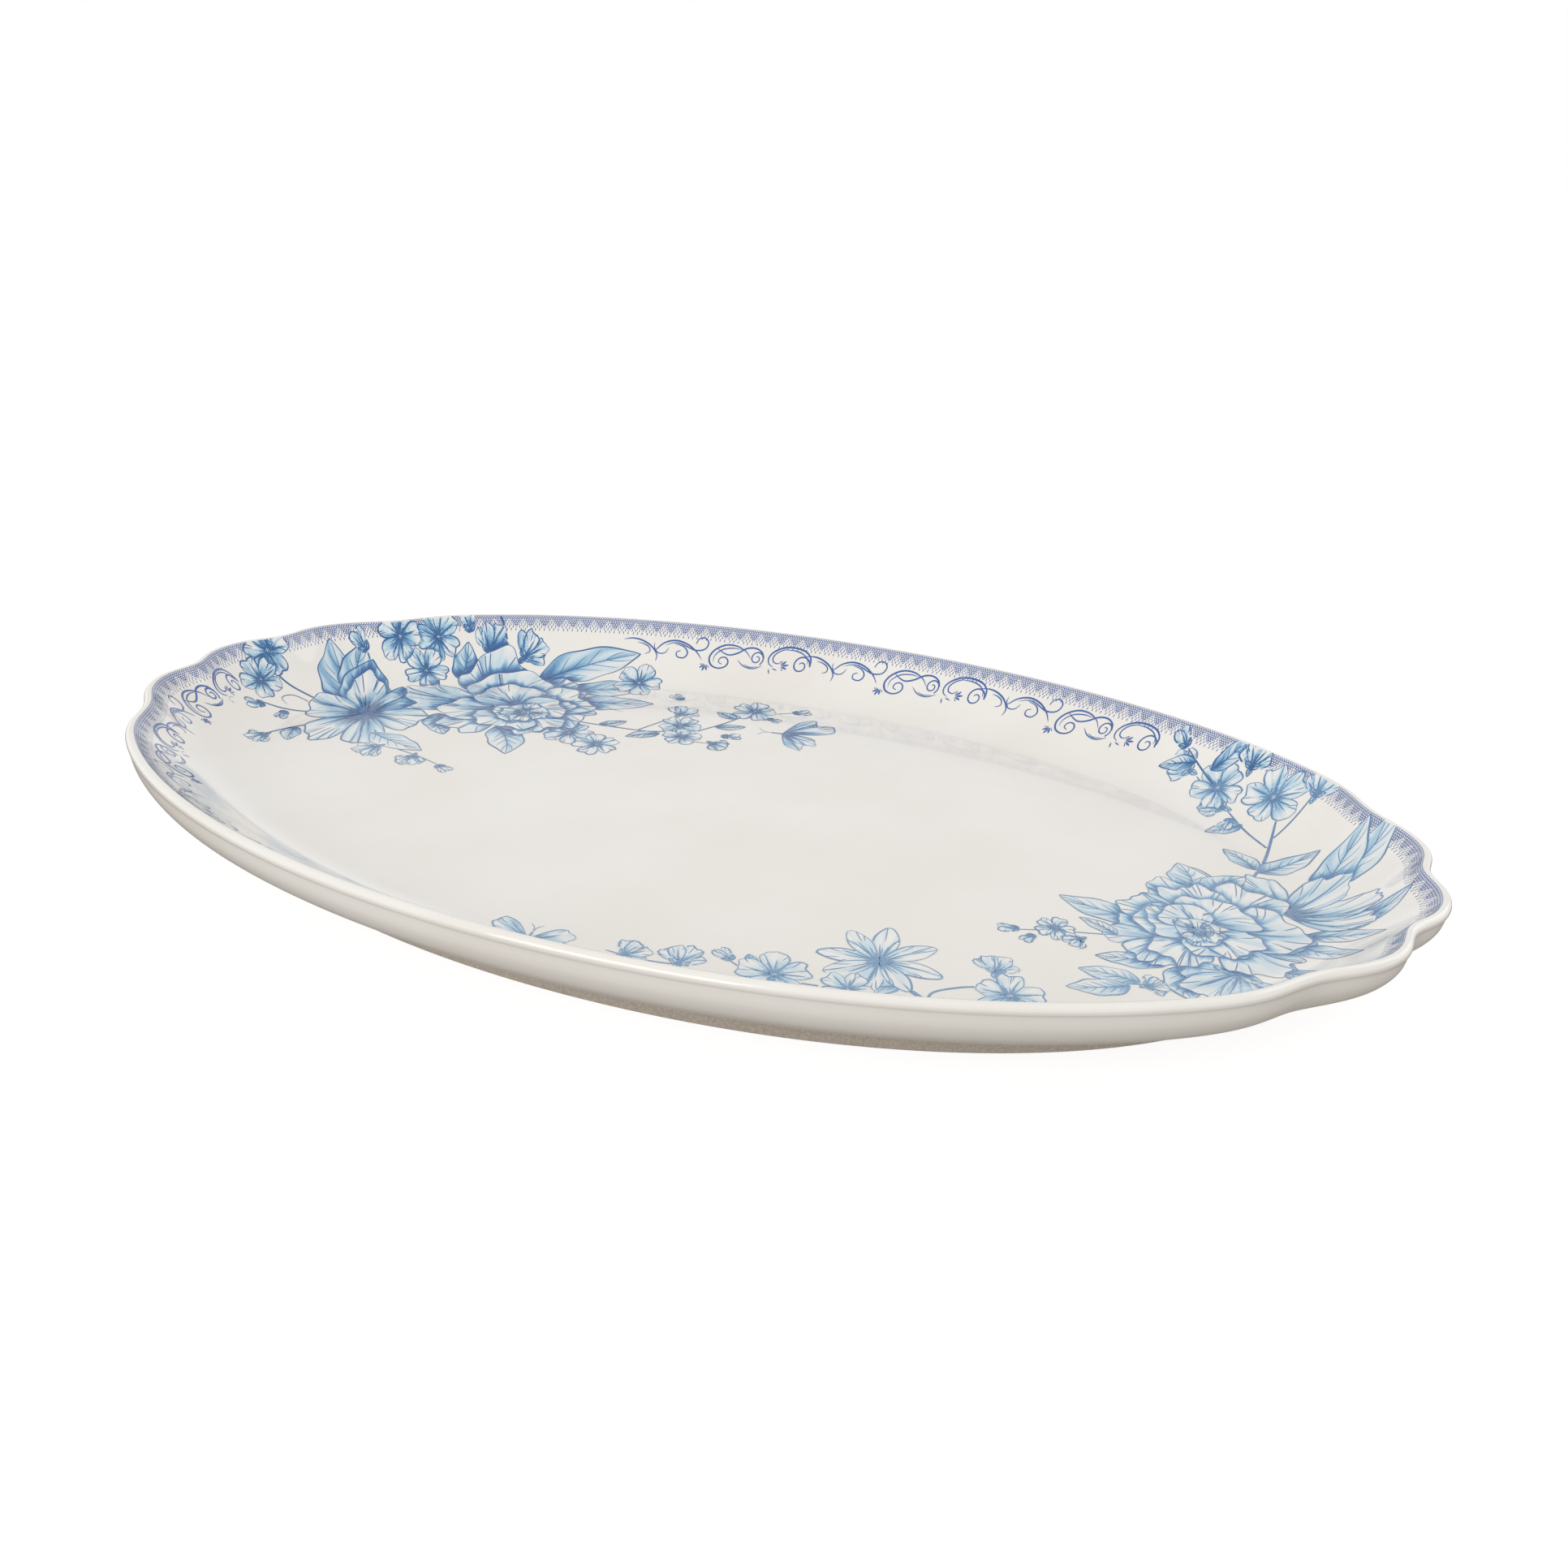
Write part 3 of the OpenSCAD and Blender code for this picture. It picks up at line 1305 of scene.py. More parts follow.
def ribbon_sides(mark: Stroke) -> tuple[Array, Array]:
    """Both sides of a stroke, with no more points than its bends need.

    Args:
        mark: The stroke.

    Returns:
        Rows of X and Y for the right side and for the left side.
    """
    longest_face, bend_of_face = 2.2, 20
    steps = np.diff(mark.path, axis=0)
    lengths = np.linalg.norm(steps, axis=1)
    headings = np.unwrap(np.arctan2(steps[:, 1], steps[:, 0]))
    bends = np.degrees(np.abs(np.diff(headings)).sum())
    reach = np.concatenate([[0.0], np.cumsum(lengths)])
    count = int(min(len(mark.path), reach[-1] / longest_face + bends / bend_of_face + 2))
    where = np.linspace(0, reach[-1], max(count, 2))
    line = np.column_stack([np.interp(where, reach, mark.path[:, axis]) for axis in (0, 1)])
    widths = np.interp(where, reach, mark.widths)
    along = np.gradient(line, axis=0)
    along /= np.maximum(np.linalg.norm(along, axis=1, keepdims=True), 1e-9)
    side = np.column_stack([-along[:, 1], along[:, 0]]) * widths[:, None] / 2
    return line - side, line + side


@dataclass
class Printer:
    """Turns films into laid pieces: a wash and a set of pen strokes."""

    dish: Dish
    blanks: Blanks
    wash_finish: bpy.types.Material
    cell: float = 0.45
    wash_lift: float = 0.03
    pen_lift: float = 0.062
    lift_step: float = 0.004
    lift_steps: int = 12
    film_step: float = 0.002

    def print_strokes(
        self, name: str, strokes: list[Stroke], petals: list[Petal], covers: list[Petal],
        ink: bpy.types.Material,
    ) -> bpy.types.Object:
        """Lay pen strokes on the dish as ribbons.

        Args:
            name: Name of the piece.
            strokes: The strokes.
            petals: The film's own petals.
            covers: Petals of other films over it.
            ink: Ink of the strokes.

        Returns:
            The piece.
        """
        masks = hidden_parts(self.dish.outline, strokes, petals, covers)
        runs = [run for mark, mask in zip(strokes, masks) for run in visible_runs(mark, mask)]
        sides = [np.vstack(ribbon_sides(run)) for run in runs]
        lifts = self.pen_lift + self.lift_step * (np.arange(len(sides)) % self.lift_steps)
        lifts = np.repeat(lifts, [len(side) for side in sides])
        laid = self.dish.lay(np.vstack(sides), lifts)
        parts = np.split(laid, np.cumsum([len(side) for side in sides])[:-1])
        marks = [stamp(self.blanks.ribbon(len(part) // 2), part) for part in parts]
        piece = join(marks, name)
        piece.data.materials.append(ink)
        return piece

    def print_wash(
        self, name: str, petals: list[Petal], covers: list[Petal], tone: PrintToneAndSheen
    ) -> bpy.types.Object:
        """Lay the wash of all petals as one thin sheet.

        Args:
            name: Name of the piece.
            petals: The petals, back to front.
            covers: Petals of other films over it.
            tone: How strongly it is printed, paler in part to paint in the glaze's sheen.

        Returns:
            The piece.
        """
        rims = [petal.place(np.linspace(-1, 1, 25), np.ones(25)) for petal in petals]
        along = np.linspace(0, 1, 9)
        for across in (-1.0, 0.0, 1.0):
            rims += [petal.place(np.full(9, across), along) for petal in petals]
        spots = np.vstack(rims)
        low, high = spots.min(axis=0) - 1, spots.max(axis=0) + 1
        counts = np.ceil((high - low) / self.cell).astype(int)
        clear_selection()
        bpy.ops.mesh.primitive_grid_add(
            x_subdivisions=int(counts[0]), y_subdivisions=int(counts[1]), size=2.0, calc_uvs=False
        )
        piece = bpy.context.object
        piece.name = piece.data.name = name
        mesh = piece.data
        columns = np.linspace(low[0], high[0], counts[0] + 1)
        rows = np.linspace(low[1], high[1], counts[1] + 1)
        plan = np.column_stack([axis.ravel() for axis in np.meshgrid(columns, rows)])
        depth, covered = self.paint(plan, petals)
        corners = np.empty(len(mesh.loops), np.int32)
        mesh.loops.foreach_get("vertex_index", corners)
        corner_sets = corners.reshape(-1, 4)
        under = under_petals(plan, covers, covered)
        beyond = past_the_rim(self.dish.outline, plan)
        kept = covered[corner_sets].any(axis=1) & ~under[corner_sets].all(axis=1)
        kept &= ~beyond[corner_sets].any(axis=1)
        needed = np.zeros(len(plan), bool)
        needed[corner_sets[kept].ravel()] = True
        places = np.zeros((len(plan), 3))
        places[needed] = self.dish.lay(plan[needed], self.wash_lift)
        mesh.vertices.foreach_set("co", places.astype(np.float32).ravel())
        layer = mesh.attributes.new("wash", "FLOAT", "POINT")
        # The wash is made paler by the film's tone, partly painted sheen of the glaze
        layer.data.foreach_set("value", (depth * tone.value).astype(np.float32))
        drop_faces(piece, ~kept)
        bpy.ops.object.shade_smooth()
        mesh.materials.append(self.wash_finish)
        return piece

    def paint(self, plan: Array, petals: list[Petal]) -> tuple[Array, Array]:
        """Paint petals one over the other.

        Args:
            plan: Rows of X and Y.
            petals: The petals, back to front.

        Returns:
            The depth of wash at each point, and a mask of the points covered.
        """
        depth = np.zeros(len(plan))
        covered = np.zeros(len(plan), bool)
        for petal in petals:
            ask = np.nonzero(petal.near(plan))[0]
            inside, across, along = petal.read(plan[ask])
            shade = petal.shade_beyond(across, along) * covered[ask]
            depth[ask] = np.clip(np.maximum(depth[ask], depth[ask] * 0.4 + shade), 0, 1)
            hit = ask[inside]
            depth[hit] = petal.wash(across[inside], along[inside])
            covered[hit] = True
        return depth, covered


def drop_faces(piece: bpy.types.Object, unwanted: Array) -> None:
    """Delete faces of a piece.

    Args:
        piece: The piece.
        unwanted: Mask of the faces to delete.
    """
    if not unwanted.any():
        return
    take_up(piece)
    bpy.ops.object.mode_set(mode="EDIT")
    bpy.ops.mesh.select_mode(type="FACE")
    bpy.ops.mesh.select_all(action="DESELECT")
    bpy.ops.object.mode_set(mode="OBJECT")
    piece.data.polygons.foreach_set("select", unwanted)
    bpy.ops.object.mode_set(mode="EDIT")
    bpy.ops.mesh.delete(type="FACE")
    bpy.ops.mesh.select_mode(type="VERT")
    bpy.ops.object.mode_set(mode="OBJECT")


# ---- Flowers ----


def beside(at: Spot, turn: float, distance: float) -> Spot:
    """Point at a distance from another, in a direction.

    Args:
        at: The first point.
        turn: Direction in degrees.
        distance: Distance in millimetres.

    Returns:
        The point.
    """
    angle = math.radians(turn)
    return (at[0] + distance * math.cos(angle), at[1] + distance * math.sin(angle))


def every_other(count: int) -> list[int]:
    """Order that lays every second petal first, and the ones between over them.

    Args:
        count: Number of petals.

    Returns:
        The petals' numbers.
    """
    return list(range(0, count, 2)) + list(range(1, count, 2))


@dataclass(frozen=True)
class Blossom:
    """Open blossom with round petals and a starry heart."""

    at: Spot
    radius: float
    turn: float = 0.0
    petals: int = 5
    threads: int = 9
    deep: float = 0.75
    pale: float = 0.55
    stretch: float = 1.35

    def draw(self, film: Film) -> None:
        """Draw the blossom on a film.

        Args:
            film: The film.
        """
        for k in range(self.petals):
            turn = self.turn + 360 / self.petals * k
            petal = Petal(
                beside(self.at, turn, self.radius * 0.03), turn,
                self.radius * film.dice.uniform(0.9, 1.06), 205 / self.petals,
                blunt=2.5, ruffle=0.05, waves=7, phase=film.dice.uniform(0, 6),
                tip=-0.1, deep=self.deep, pale=self.pale, engraving=3, line=0.5,
            )
            film.add(petal)
        for k in range(self.threads):
            turn = self.turn + 360 / self.threads * (k + 0.3)
            end = beside(self.at, turn, self.radius * film.dice.uniform(0.24, 0.36))
            film.pen([beside(self.at, turn, self.radius * 0.12), end], 0.2, 1.0, 0.7)
            film.dot(end, 0.42)
        ring = [beside(self.at, 45 * k, self.radius * 0.12) for k in range(9)]
        film.pen(ring, 0.32, 1.0, 1.0)


@dataclass(frozen=True)
class HalfBlossom:
    """Blossom seen from the side, in its cup."""

    at: Spot
    radius: float
    turn: float
    pale: float = 0.55
    stretch: float = 1.35

    def draw(self, film: Film) -> None:
        """Draw the half blossom on a film.

        Args:
            film: The film.
        """
        for lean, share in ((-52, 0.85), (50, 0.88), (-18, 1.0), (22, 0.92)):
            petal = Petal(
                self.at, self.turn + lean, self.radius * share, 31, blunt=2.4,
                ruffle=0.06, waves=6, phase=film.dice.uniform(0, 6), tip=-0.05,
                deep=0.85, pale=self.pale, engraving=3, line=0.5,
            )
            film.add(petal)
        for lean in (-70, 70, 180):
            petal = Petal(
                self.at, self.turn + lean, self.radius * 0.36, 0.3, cut=Cut.LEAF,
                deep=1.0, pale=0.9, engraving=2, line=0.44,
            )
            film.add(petal)


@dataclass(frozen=True)
class Bud:
    """Closed bud in a small cup."""

    at: Spot
    length: float
    turn: float
    stretch: float = 1.2

    def draw(self, film: Film) -> None:
        """Draw the bud on a film.

        Args:
            film: The film.
        """
        for lean, spread in ((-16, 26), (14, 30)):
            petal = Petal(
                self.at, self.turn + lean, self.length, spread, blunt=2.2, tip=0.06,
                phase=film.dice.uniform(0, 6), deep=0.8, pale=0.55, engraving=3, line=0.46,
            )
            film.add(petal)
        for lean in (-42, 40):
            petal = Petal(
                beside(self.at, self.turn + 180, 0.6), self.turn + lean, self.length * 0.5,
                0.24, cut=Cut.LEAF, deep=1.0, pale=0.9, engraving=2, line=0.55,
            )
            film.add(petal)


@dataclass(frozen=True)
class Leaf:
    """Pointed leaf with a midrib and side veins."""

    base: Spot
    end: Spot
    half: float = 0.22
    bend: float = 14.0
    pale: float = 0.6
    deep: float = 0.75
    veins: int = 5

    def draw(self, film: Film) -> None:
        """Draw the leaf on a film.

        Args:
            film: The film.
        """
        across, up = self.end[0] - self.base[0], self.end[1] - self.base[1]
        length = math.hypot(across, up)
        turn = math.degrees(math.atan2(up, across)) - self.bend
        petal = Petal(
            self.base, turn, length, self.half, cut=Cut.LEAF, bend=self.bend, ruffle=0.07,
            waves=5, phase=film.dice.uniform(0, 6), pale=self.pale, deep=self.deep,
            engraving=self.veins, line=0.52,
        )
        film.add(petal)


@dataclass(frozen=True)
class Anemone:
    """Open flower with broad streaked petals round a dark dotted heart."""

    at: Spot
    radius: float
    turn: float = 0.0
    petals: int = 6
    threads: int = 26
    stretch: float = 1.75

    def draw(self, film: Film) -> None:
        """Draw the anemone on a film.

        Args:
            film: The film.
        """
        for k in every_other(self.petals):
            turn = self.turn + 360 / self.petals * k
            petal = Petal(
                self.at, turn, self.radius * film.dice.uniform(0.92, 1.08),
                200 / self.petals, blunt=2.7, ruffle=0.05, waves=6,
                phase=film.dice.uniform(0, 6), tip=0.05, deep=0.9, pale=0.55,
                engraving=9, line=0.6,
            )
            film.add(petal)
        self.heart(film)

    def heart(self, film: Film) -> None:
        """Draw the dark heart, its threads and their dots.

        Args:
            film: The film.
        """
        for k in range(self.threads):
            turn = 360 / self.threads * k + film.dice.uniform(-5, 5)
            end = beside(self.at, turn, self.radius * film.dice.uniform(0.2, 0.34))
            film.pen([beside(self.at, turn, self.radius * 0.06), end], 0.2, 1.0, 0.8)
            film.dot(end, 0.5)
        for k in range(7):
            film.dot(beside(self.at, 51 * k, self.radius * 0.07), 0.8)


@dataclass(frozen=True)
class Clematis:
    """Star of narrow pointed petals."""

    at: Spot
    radius: float
    turn: float = 0.0
    petals: int = 8
    threads: int = 14
    stretch: float = 1.2

    def draw(self, film: Film) -> None:
        """Draw the flower on a film.

        Args:
            film: The film.
        """
        for k in every_other(self.petals):
            turn = self.turn + 360 / self.petals * k
            petal = Petal(
                self.at, turn, self.radius * film.dice.uniform(0.85, 1.0), 27, blunt=1.9,
                tip=0.16, bend=film.dice.uniform(-9, 9), phase=film.dice.uniform(0, 6),
                deep=0.6, pale=0.5, engraving=5, line=0.55,
            )
            film.add(petal)
        for k in range(self.threads):
            turn = 360 / self.threads * k
            end = beside(self.at, turn, self.radius * film.dice.uniform(0.14, 0.22))
            film.pen([self.at, end], 0.22, 1.0, 0.7)
            film.dot(end, 0.42)


@dataclass(frozen=True)
class Peony:
    """Full flower: rings of ruffled petals round a rolled heart."""

    at: Spot
    radius: float
    turn: float = 0.0
    deep: float = 0.85
    pale: float = 0.5
    rays: int = 8
    facing: float = -20.0
    stretch: float = 1.2

    def draw(self, film: Film) -> None:
        """Draw the peony on a film, from its outer petals to its heart.

        Args:
            film: The film.
        """
        rings = (
            (6, 0.26, 0.80, 46, 0.0),
            (4, 0.18, 0.66, 62, 33.0),
            (3, 0.10, 0.54, 72, 10.0),
            (2, 0.02, 0.42, 84, 50.0),
        )
        for ring, (count, start, reach, spread, shift) in enumerate(rings):
            middle = beside(self.at, self.facing, self.radius * 0.075 * ring)
            turns = {k: math.radians(shift + 360 / count * k) for k in every_other(count)}
            for k in sorted(turns, key=lambda k: math.cos(turns[k])):
                turn = self.turn + shift + 360 / count * k + film.dice.uniform(-9, 9)
                foreshort = 1 - 0.13 * math.cos(math.radians(turn - self.facing))
                petal = Petal(
                    beside(middle, turn, self.radius * start), turn,
                    self.radius * reach * foreshort * film.dice.uniform(0.82, 1.14),
                    spread * film.dice.uniform(0.86, 1.14), blunt=film.dice.uniform(2.5, 3.6),
                    bend=film.dice.uniform(-22, 22), ruffle=film.dice.uniform(0.05, 0.09),
                    waves=film.dice.uniform(5, 9), phase=film.dice.uniform(0, 6),
                    tip=film.dice.uniform(-0.14, 0.08), deep=self.deep, pale=self.pale,
                    engraving=self.rays, line=0.62,
                )
                film.add(petal)
        self.heart(film)

    def heart(self, film: Film) -> None:
        """Draw the rolled heart: cupped petals over a dark ball.

        Args:
            film: The film.
        """
        size = self.radius * 0.25
        middle = beside(self.at, self.facing, self.radius * 0.26)
        petal = Petal(
            beside(middle, self.turn - 90, size), self.turn + 90, size * 2.1, 0.48,
            cut=Cut.LEAF, deep=self.deep, pale=0.8, engraving=4, line=0.5,
        )
        film.add(petal)
        for k, (lean, reach) in enumerate(((200, 0.95), (330, 0.9), (85, 0.8), (262, 1.0))):
            petal = Petal(
                beside(middle, self.turn + lean, size * 0.16), self.turn + lean,
                size * reach, 50, blunt=3.0, ruffle=0.08, phase=1.0 + k, deep=self.deep,
                pale=0.6, engraving=6, line=0.55,
            )
            film.add(petal)
        for k in range(6):
            arc = [
                beside(middle, self.turn + 50 * k + 34 * step, size * (0.16 + 0.11 * k))
                for step in range(5)
            ]
            film.pen(arc, 0.5, 0.2, 0.0)


@dataclass(frozen=True)
class Butterfly:
    """Small butterfly, with its wings open or folded to one side."""

    at: Spot
    span: float
    turn: float = 0.0
    folded: bool = True
    stretch: float = 1.5

    def draw(self, film: Film) -> None:
        """Draw the butterfly on a film.

        Args:
            film: The film.
        """
        if self.folded:
            wings = ((-134, 0.6, 19), (-158, 0.74, 17), (156, 0.5, 23), (126, 0.46, 27))
        else:
            wings = ((122, 0.42, 32), (-122, 0.42, 32), (66, 0.62, 27), (-66, 0.6, 27))
        for lean, reach, spread in wings:
            petal = Petal(
                self.at, self.turn + lean, self.span * reach, spread, blunt=2.6,
                ruffle=0.05, waves=8, phase=film.dice.uniform(0, 6), tip=0.1, deep=0.9,
                pale=0.9, engraving=5, line=0.5,
            )
            film.add(petal)
        tail = beside(self.at, self.turn + 180, self.span * 0.24)
        head = beside(self.at, self.turn, self.span * 0.16)
        film.pen([tail, self.at, head], 0.9, 0.3, 0.6)
        for lean in (-24, 24):
            feeler = beside(head, self.turn + lean * 1.3, self.span * 0.22)
            film.pen([head, beside(head, self.turn + lean * 0.5, self.span * 0.12), feeler], 0.22)


# ---- The transfers, motif by motif ----


def draw_all(film: Film, motifs: Sequence[object]) -> Film:
    """Draw motifs on a film, back to front.

    Args:
        film: The film.
        motifs: The motifs.

    Returns:
        The film.
    """
    for motif in motifs:
        film.hold(getattr(motif, "at", (0.0, 0.0)), getattr(motif, "stretch", 1.0))
        motif.draw(film)
    film.hold((0.0, 0.0), 1.0)
    return film


class Sprays:
    """The flower transfers, each drawn on its own film."""

    def left_spray(self) -> Film:
        """Big left spray with its peony, anemone and blossoms.

        Returns:
            The film.
        """
        film = Film("spray_left", 11)
        film.stem([(-150, 52), (-158, 62), (-166, 70), (-172, 78)])
        film.stem([(-134, 76), (-142, 86), (-148, 93), (-154, 97)])
        film.stem([(-164, 12), (-176, 12), (-186, 10), (-196, 10)])
        film.stem([(-166, 4), (-174, -2), (-182, -7)])
        film.stem([(-160, -8), (-164, -18), (-166, -27)])
        film.pen([(-168, 4), (-174, 8), (-180, 7), (-181, 2), (-177, 0)], 0.4)
        motifs = [
            Leaf((-124, 80), (-99, 113), 0.2, -18, 0.55),
            Leaf((-112, 78), (-86, 100), 0.24, 16, 0.6),
            Leaf((-104, 66), (-76, 81), 0.26, 12, 0.55),
            Leaf((-108, 26), (-90, 3), 0.22, -14, 0.45),
            Leaf((-132, 26), (-118, 8), 0.22, 12, 0.5),
            Leaf((-166, 16), (-190, 40), 0.24, 16, 0.7),
            Leaf((-168, 26), (-182, 50), 0.22, -12, 0.7),
            Leaf((-148, 62), (-156, 80), 0.24, 10, 0.7),
            Leaf((-176, 70), (-186, 60), 0.26, 10, 0.7),
            Blossom((-165, 73), 8.2, 12),
            Blossom((-174, 61), 7.6, 50),
            Blossom((-160, 58), 8.0, 30),
            Bud((-180, 48), 6.5, 170),
            HalfBlossom((-148, 82), 9.0, 110),
            HalfBlossom((-136, 88), 9.5, 78),
            Bud((-158, 84), 6.5, 140),
            Blossom((-196, 13), 7.8, 5),
            Blossom((-190, 2), 7.4, 40),
            Bud((-181, -8), 5.5, 240),
            Bud((-174, -5), 5.0, 290),
            HalfBlossom((-165, -26), 6.5, 262),
            Leaf((-162, -14), (-156, -26), 0.24, 8, 0.55),
            Blossom((-84, 34), 8.6, 20, pale=0.4, deep=0.5),
            Blossom((-70, 29), 8.2, 55, pale=0.4, deep=0.5),
            Leaf((-158, 22), (-176, 47), 0.3, -22, 0.65),
            Anemone((-153, 12), 21, 15),
            Peony((-117, 50), 32.5, 20, 1.0, 0.45, 10),
        ]
        return draw_all(film, motifs)

    def left_sprig(self) -> Film:
        """Pale pod and buds below the left spray.

        Returns:
            The film.
        """
        film = Film("sprig_left", 12, PrintToneAndSheen.SOFT)
        film.stem([(-138, -6), (-126, -12), (-112, -15), (-100, -19)], 0.5)
        motifs = [
            Leaf((-138, -4), (-114, -10), 0.24, 10, 0.4, 0.45),
            HalfBlossom((-128, -15), 8.0, 250, 0.4),
            HalfBlossom((-113, -16), 7.0, 285, 0.4),
            Bud((-101, -19), 5.5, -20),
        ]
        return draw_all(film, motifs)

    def far_branch(self) -> Film:
        """Flowering branch right of the left spray.

        Returns:
            The film.
        """
        film = Film("branch_far", 13)
        film.stem([(-98, 46), (-86, 47), (-74, 49), (-62, 52), (-48, 62)])
        film.stem([(-66, 51), (-64, 62), (-62, 72)], 0.6)
        film.stem([(-48, 62), (-44, 76), (-41, 92)], 0.65)
        film.stem([(-42, 88), (-34, 96), (-28, 102)], 0.5)
        film.stem([(-62, 52), (-50, 50), (-38, 52)], 0.5)
        film.pen([(-98, 60), (-90, 66), (-80, 66)], 0.4)
        motifs = [
            Leaf((-80, 48), (-74, 57), 0.26, 10, 0.7),
            Leaf((-58, 52), (-66, 42), 0.26, 10, 0.7),
            Leaf((-45, 70), (-36, 76), 0.28, 10, 0.7),
            Leaf((-43, 82), (-52, 86), 0.28, 10, 0.7),
            HalfBlossom((-62, 75), 8.5, 88),
            Blossom((-56, 64), 8.2, 10),
            Blossom((-50, 53), 7.0, 36),
            Bud((-70, 92), 5.5, 150),
            Bud((-38, 62), 6.0, 30),
            HalfBlossom((-38, 53), 6.5, -10),
            Blossom((-41, 95), 8.4, 26),
            Bud((-28, 102), 6.0, 40),
            Bud((-33, 90), 4.6, -10),
        ]
        return draw_all(film, motifs)

    def far_blossom(self) -> Film:
        """Single open blossom near the far rim."""
        return draw_all(Film("blossom_far", 14), [Blossom((-92, 99), 9.6, 18, deep=0.6)])

    def far_butterfly(self) -> Film:
        """Butterfly beside the branch."""
        return draw_all(Film("butterfly_far", 15), [Butterfly((-22, 77), 25, 198)])

    def right_spray(self) -> Film:
        """Big right spray with its peony, lily and leaves.

        Returns:
            The film.
        """
        # Printed soft: paler partly to paint in the glaze's sheen over the right side of the well
        film = Film("spray_right", 21, PrintToneAndSheen.SOFT)
        film.stem([(148, 16), (150, 34), (151, 52), (150, 76)], 1.0)
        film.stem([(150, 60), (142, 70), (134, 82)], 0.7)
        film.stem([(151, 66), (156, 76), (160, 84)], 0.6)
        film.stem([(134, 82), (126, 92), (120, 100)], 0.6)
        film.pen([(144, 16), (141, 26), (135, 32), (130, 33)], 0.55, 0.8)
        motifs = [
            Leaf((150, 42), (138, 54), 0.24, 12, 0.6),
            Leaf((151, 40), (166, 56), 0.22, -12, 0.6),
            Leaf((140, 74), (130, 66), 0.26, 10, 0.6),
            Leaf((168, 34), (186, 60), 0.2, 10, 0.6),
            Leaf((170, 30), (178, 62), 0.18, -10, 0.6),
            Leaf((172, 6), (194, 18), 0.2, 12, 0.55),
            Leaf((170, 0), (190, -2), 0.22, -12, 0.55),
            Leaf((168, -6), (186, -18), 0.22, 12, 0.5),
            Leaf((160, -14), (172, -30), 0.22, 12, 0.5),
            Leaf((130, -14), (103, -10), 0.24, -14, 0.6),
            HalfBlossom((132, 84), 8.4, 160),
            Bud((136, 77), 5.4, 250),
            Blossom((147, 86), 9.4, 20),
            Blossom((128, 94), 8.8, 45),
            HalfBlossom((160, 82), 7.6, 60),
            HalfBlossom((117, 103), 8.0, 150),
        ]
        draw_all(film, motifs)
        for turn, reach in ((150, 19), (112, 25), (-14, 23), (22, 25), (66, 29)):
            petal = Petal(
                (162, 12), turn, reach, 25, blunt=2.6, bend=film.dice.uniform(-10, 10),
                ruffle=0.05, phase=film.dice.uniform(0, 6), tip=0.1, deep=0.8, pale=0.5,
                engraving=7, line=0.52,
            )
            film.add(petal)
        motifs = [
            Leaf((136, 14), (128, 34), 0.3, 18, 0.55),
            Leaf((140, 16), (148, 34), 0.28, -18, 0.5),
            Leaf((140, -40), (122, -44), 0.26, 10, 0.5),
            Leaf((144, -38), (150, -58), 0.26, 10, 0.5),
            Leaf((168, -28), (180, -34), 0.3, 10, 0.45),
            HalfBlossom((158, -34), 19, 255, 0.45),
            HalfBlossom((136, -22), 17, 222, 0.5),
            Peony((146, -6), 26, 70, 0.8, 0.42, 10, 235),
        ]
        return draw_all(film, motifs)

    def right_branch(self) -> Film:
        """Twig with buds that leads on from the right spray along the rim.

        Returns:
            The film.
        """
        film = Film("branch_right", 22)
        film.stem([(126, 96), (120, 104), (114, 112)], 0.55)
        motifs = [
            Leaf((124, 102), (134, 112), 0.26, 12, 0.65),
            Leaf((118, 106), (106, 106), 0.26, 12, 0.65),
            HalfBlossom((137, 100), 7.5, 70),
            Bud((113, 113), 6.0, 120),
        ]
        return draw_all(film, motifs)

    def right_sprig(self) -> Film:
        """Pale twig left of the right spray.

        Returns:
            The film.
        """
        film = Film("sprig_right", 23, PrintToneAndSheen.SOFT)
        film.stem([(130, -26), (120, -30), (110, -34), (98, -40)], 0.5)
        motifs = [
            Leaf((124, -28), (112, -22), 0.2, 10, 0.4, 0.5),
            Blossom((108, -33), 5.6, 10, pale=0.45, deep=0.55),
            HalfBlossom((116, -36), 5.4, 230, 0.4),
            Bud((99, -39), 5.0, 200),
            Bud((104, -41), 4.2, 250),
        ]
        return draw_all(film, motifs)

    def near_clematis(self) -> Film:
        """Star flower on the near side, with its stem and tendril.

        Returns:
            The film.
        """
        # Printed faint: paler partly to paint in the glaze's sheen over the near side of the well
        film = Film("clematis_near", 31, PrintToneAndSheen.FAINT)
        film.stem([(77, -82), (83, -87), (91, -92), (97, -96)], 1.5)
        film.pen([(92, -93), (92, -87), (97, -81), (102, -77), (104, -70)], 0.8, 0.9)
        film.pen([(92, -91), (86, -96), (79, -97), (76, -94), (79, -92)], 0.4, 0.9)
        motifs = [
            Leaf((84, -88), (72, -100), 0.24, 12, 0.6),
            Leaf((95, -93), (108, -87), 0.26, 14, 0.6),
            Clematis((74, -78), 15.5, 8),
        ]
        return draw_all(film, motifs)

    def near_garland(self) -> Film:
        """String of small blossoms along the near side.

        Returns:
            The film.
        """
        # Printed faint: paler partly to paint in the glaze's sheen over the near side of the well
        film = Film("garland_near", 32, PrintToneAndSheen.FAINT)
        film.stem([(66, -99), (56, -101), (46, -100), (40, -97)], 0.6)
        film.stem([(34, -106), (22, -109), (12, -109)], 0.5)
        motifs = [
            Leaf((60, -101), (50, -108), 0.26, 10, 0.6),
            Leaf((48, -99), (44, -92), 0.26, 10, 0.6),
            Blossom((73, -97), 7.2, 12),
            Blossom((54, -99), 9.4, 40),
            Bud((41, -97), 5.5, 150),
            HalfBlossom((31, -106), 8.4, 100),
            HalfBlossom((17, -109), 7.4, 60),
        ]
        return draw_all(film, motifs)

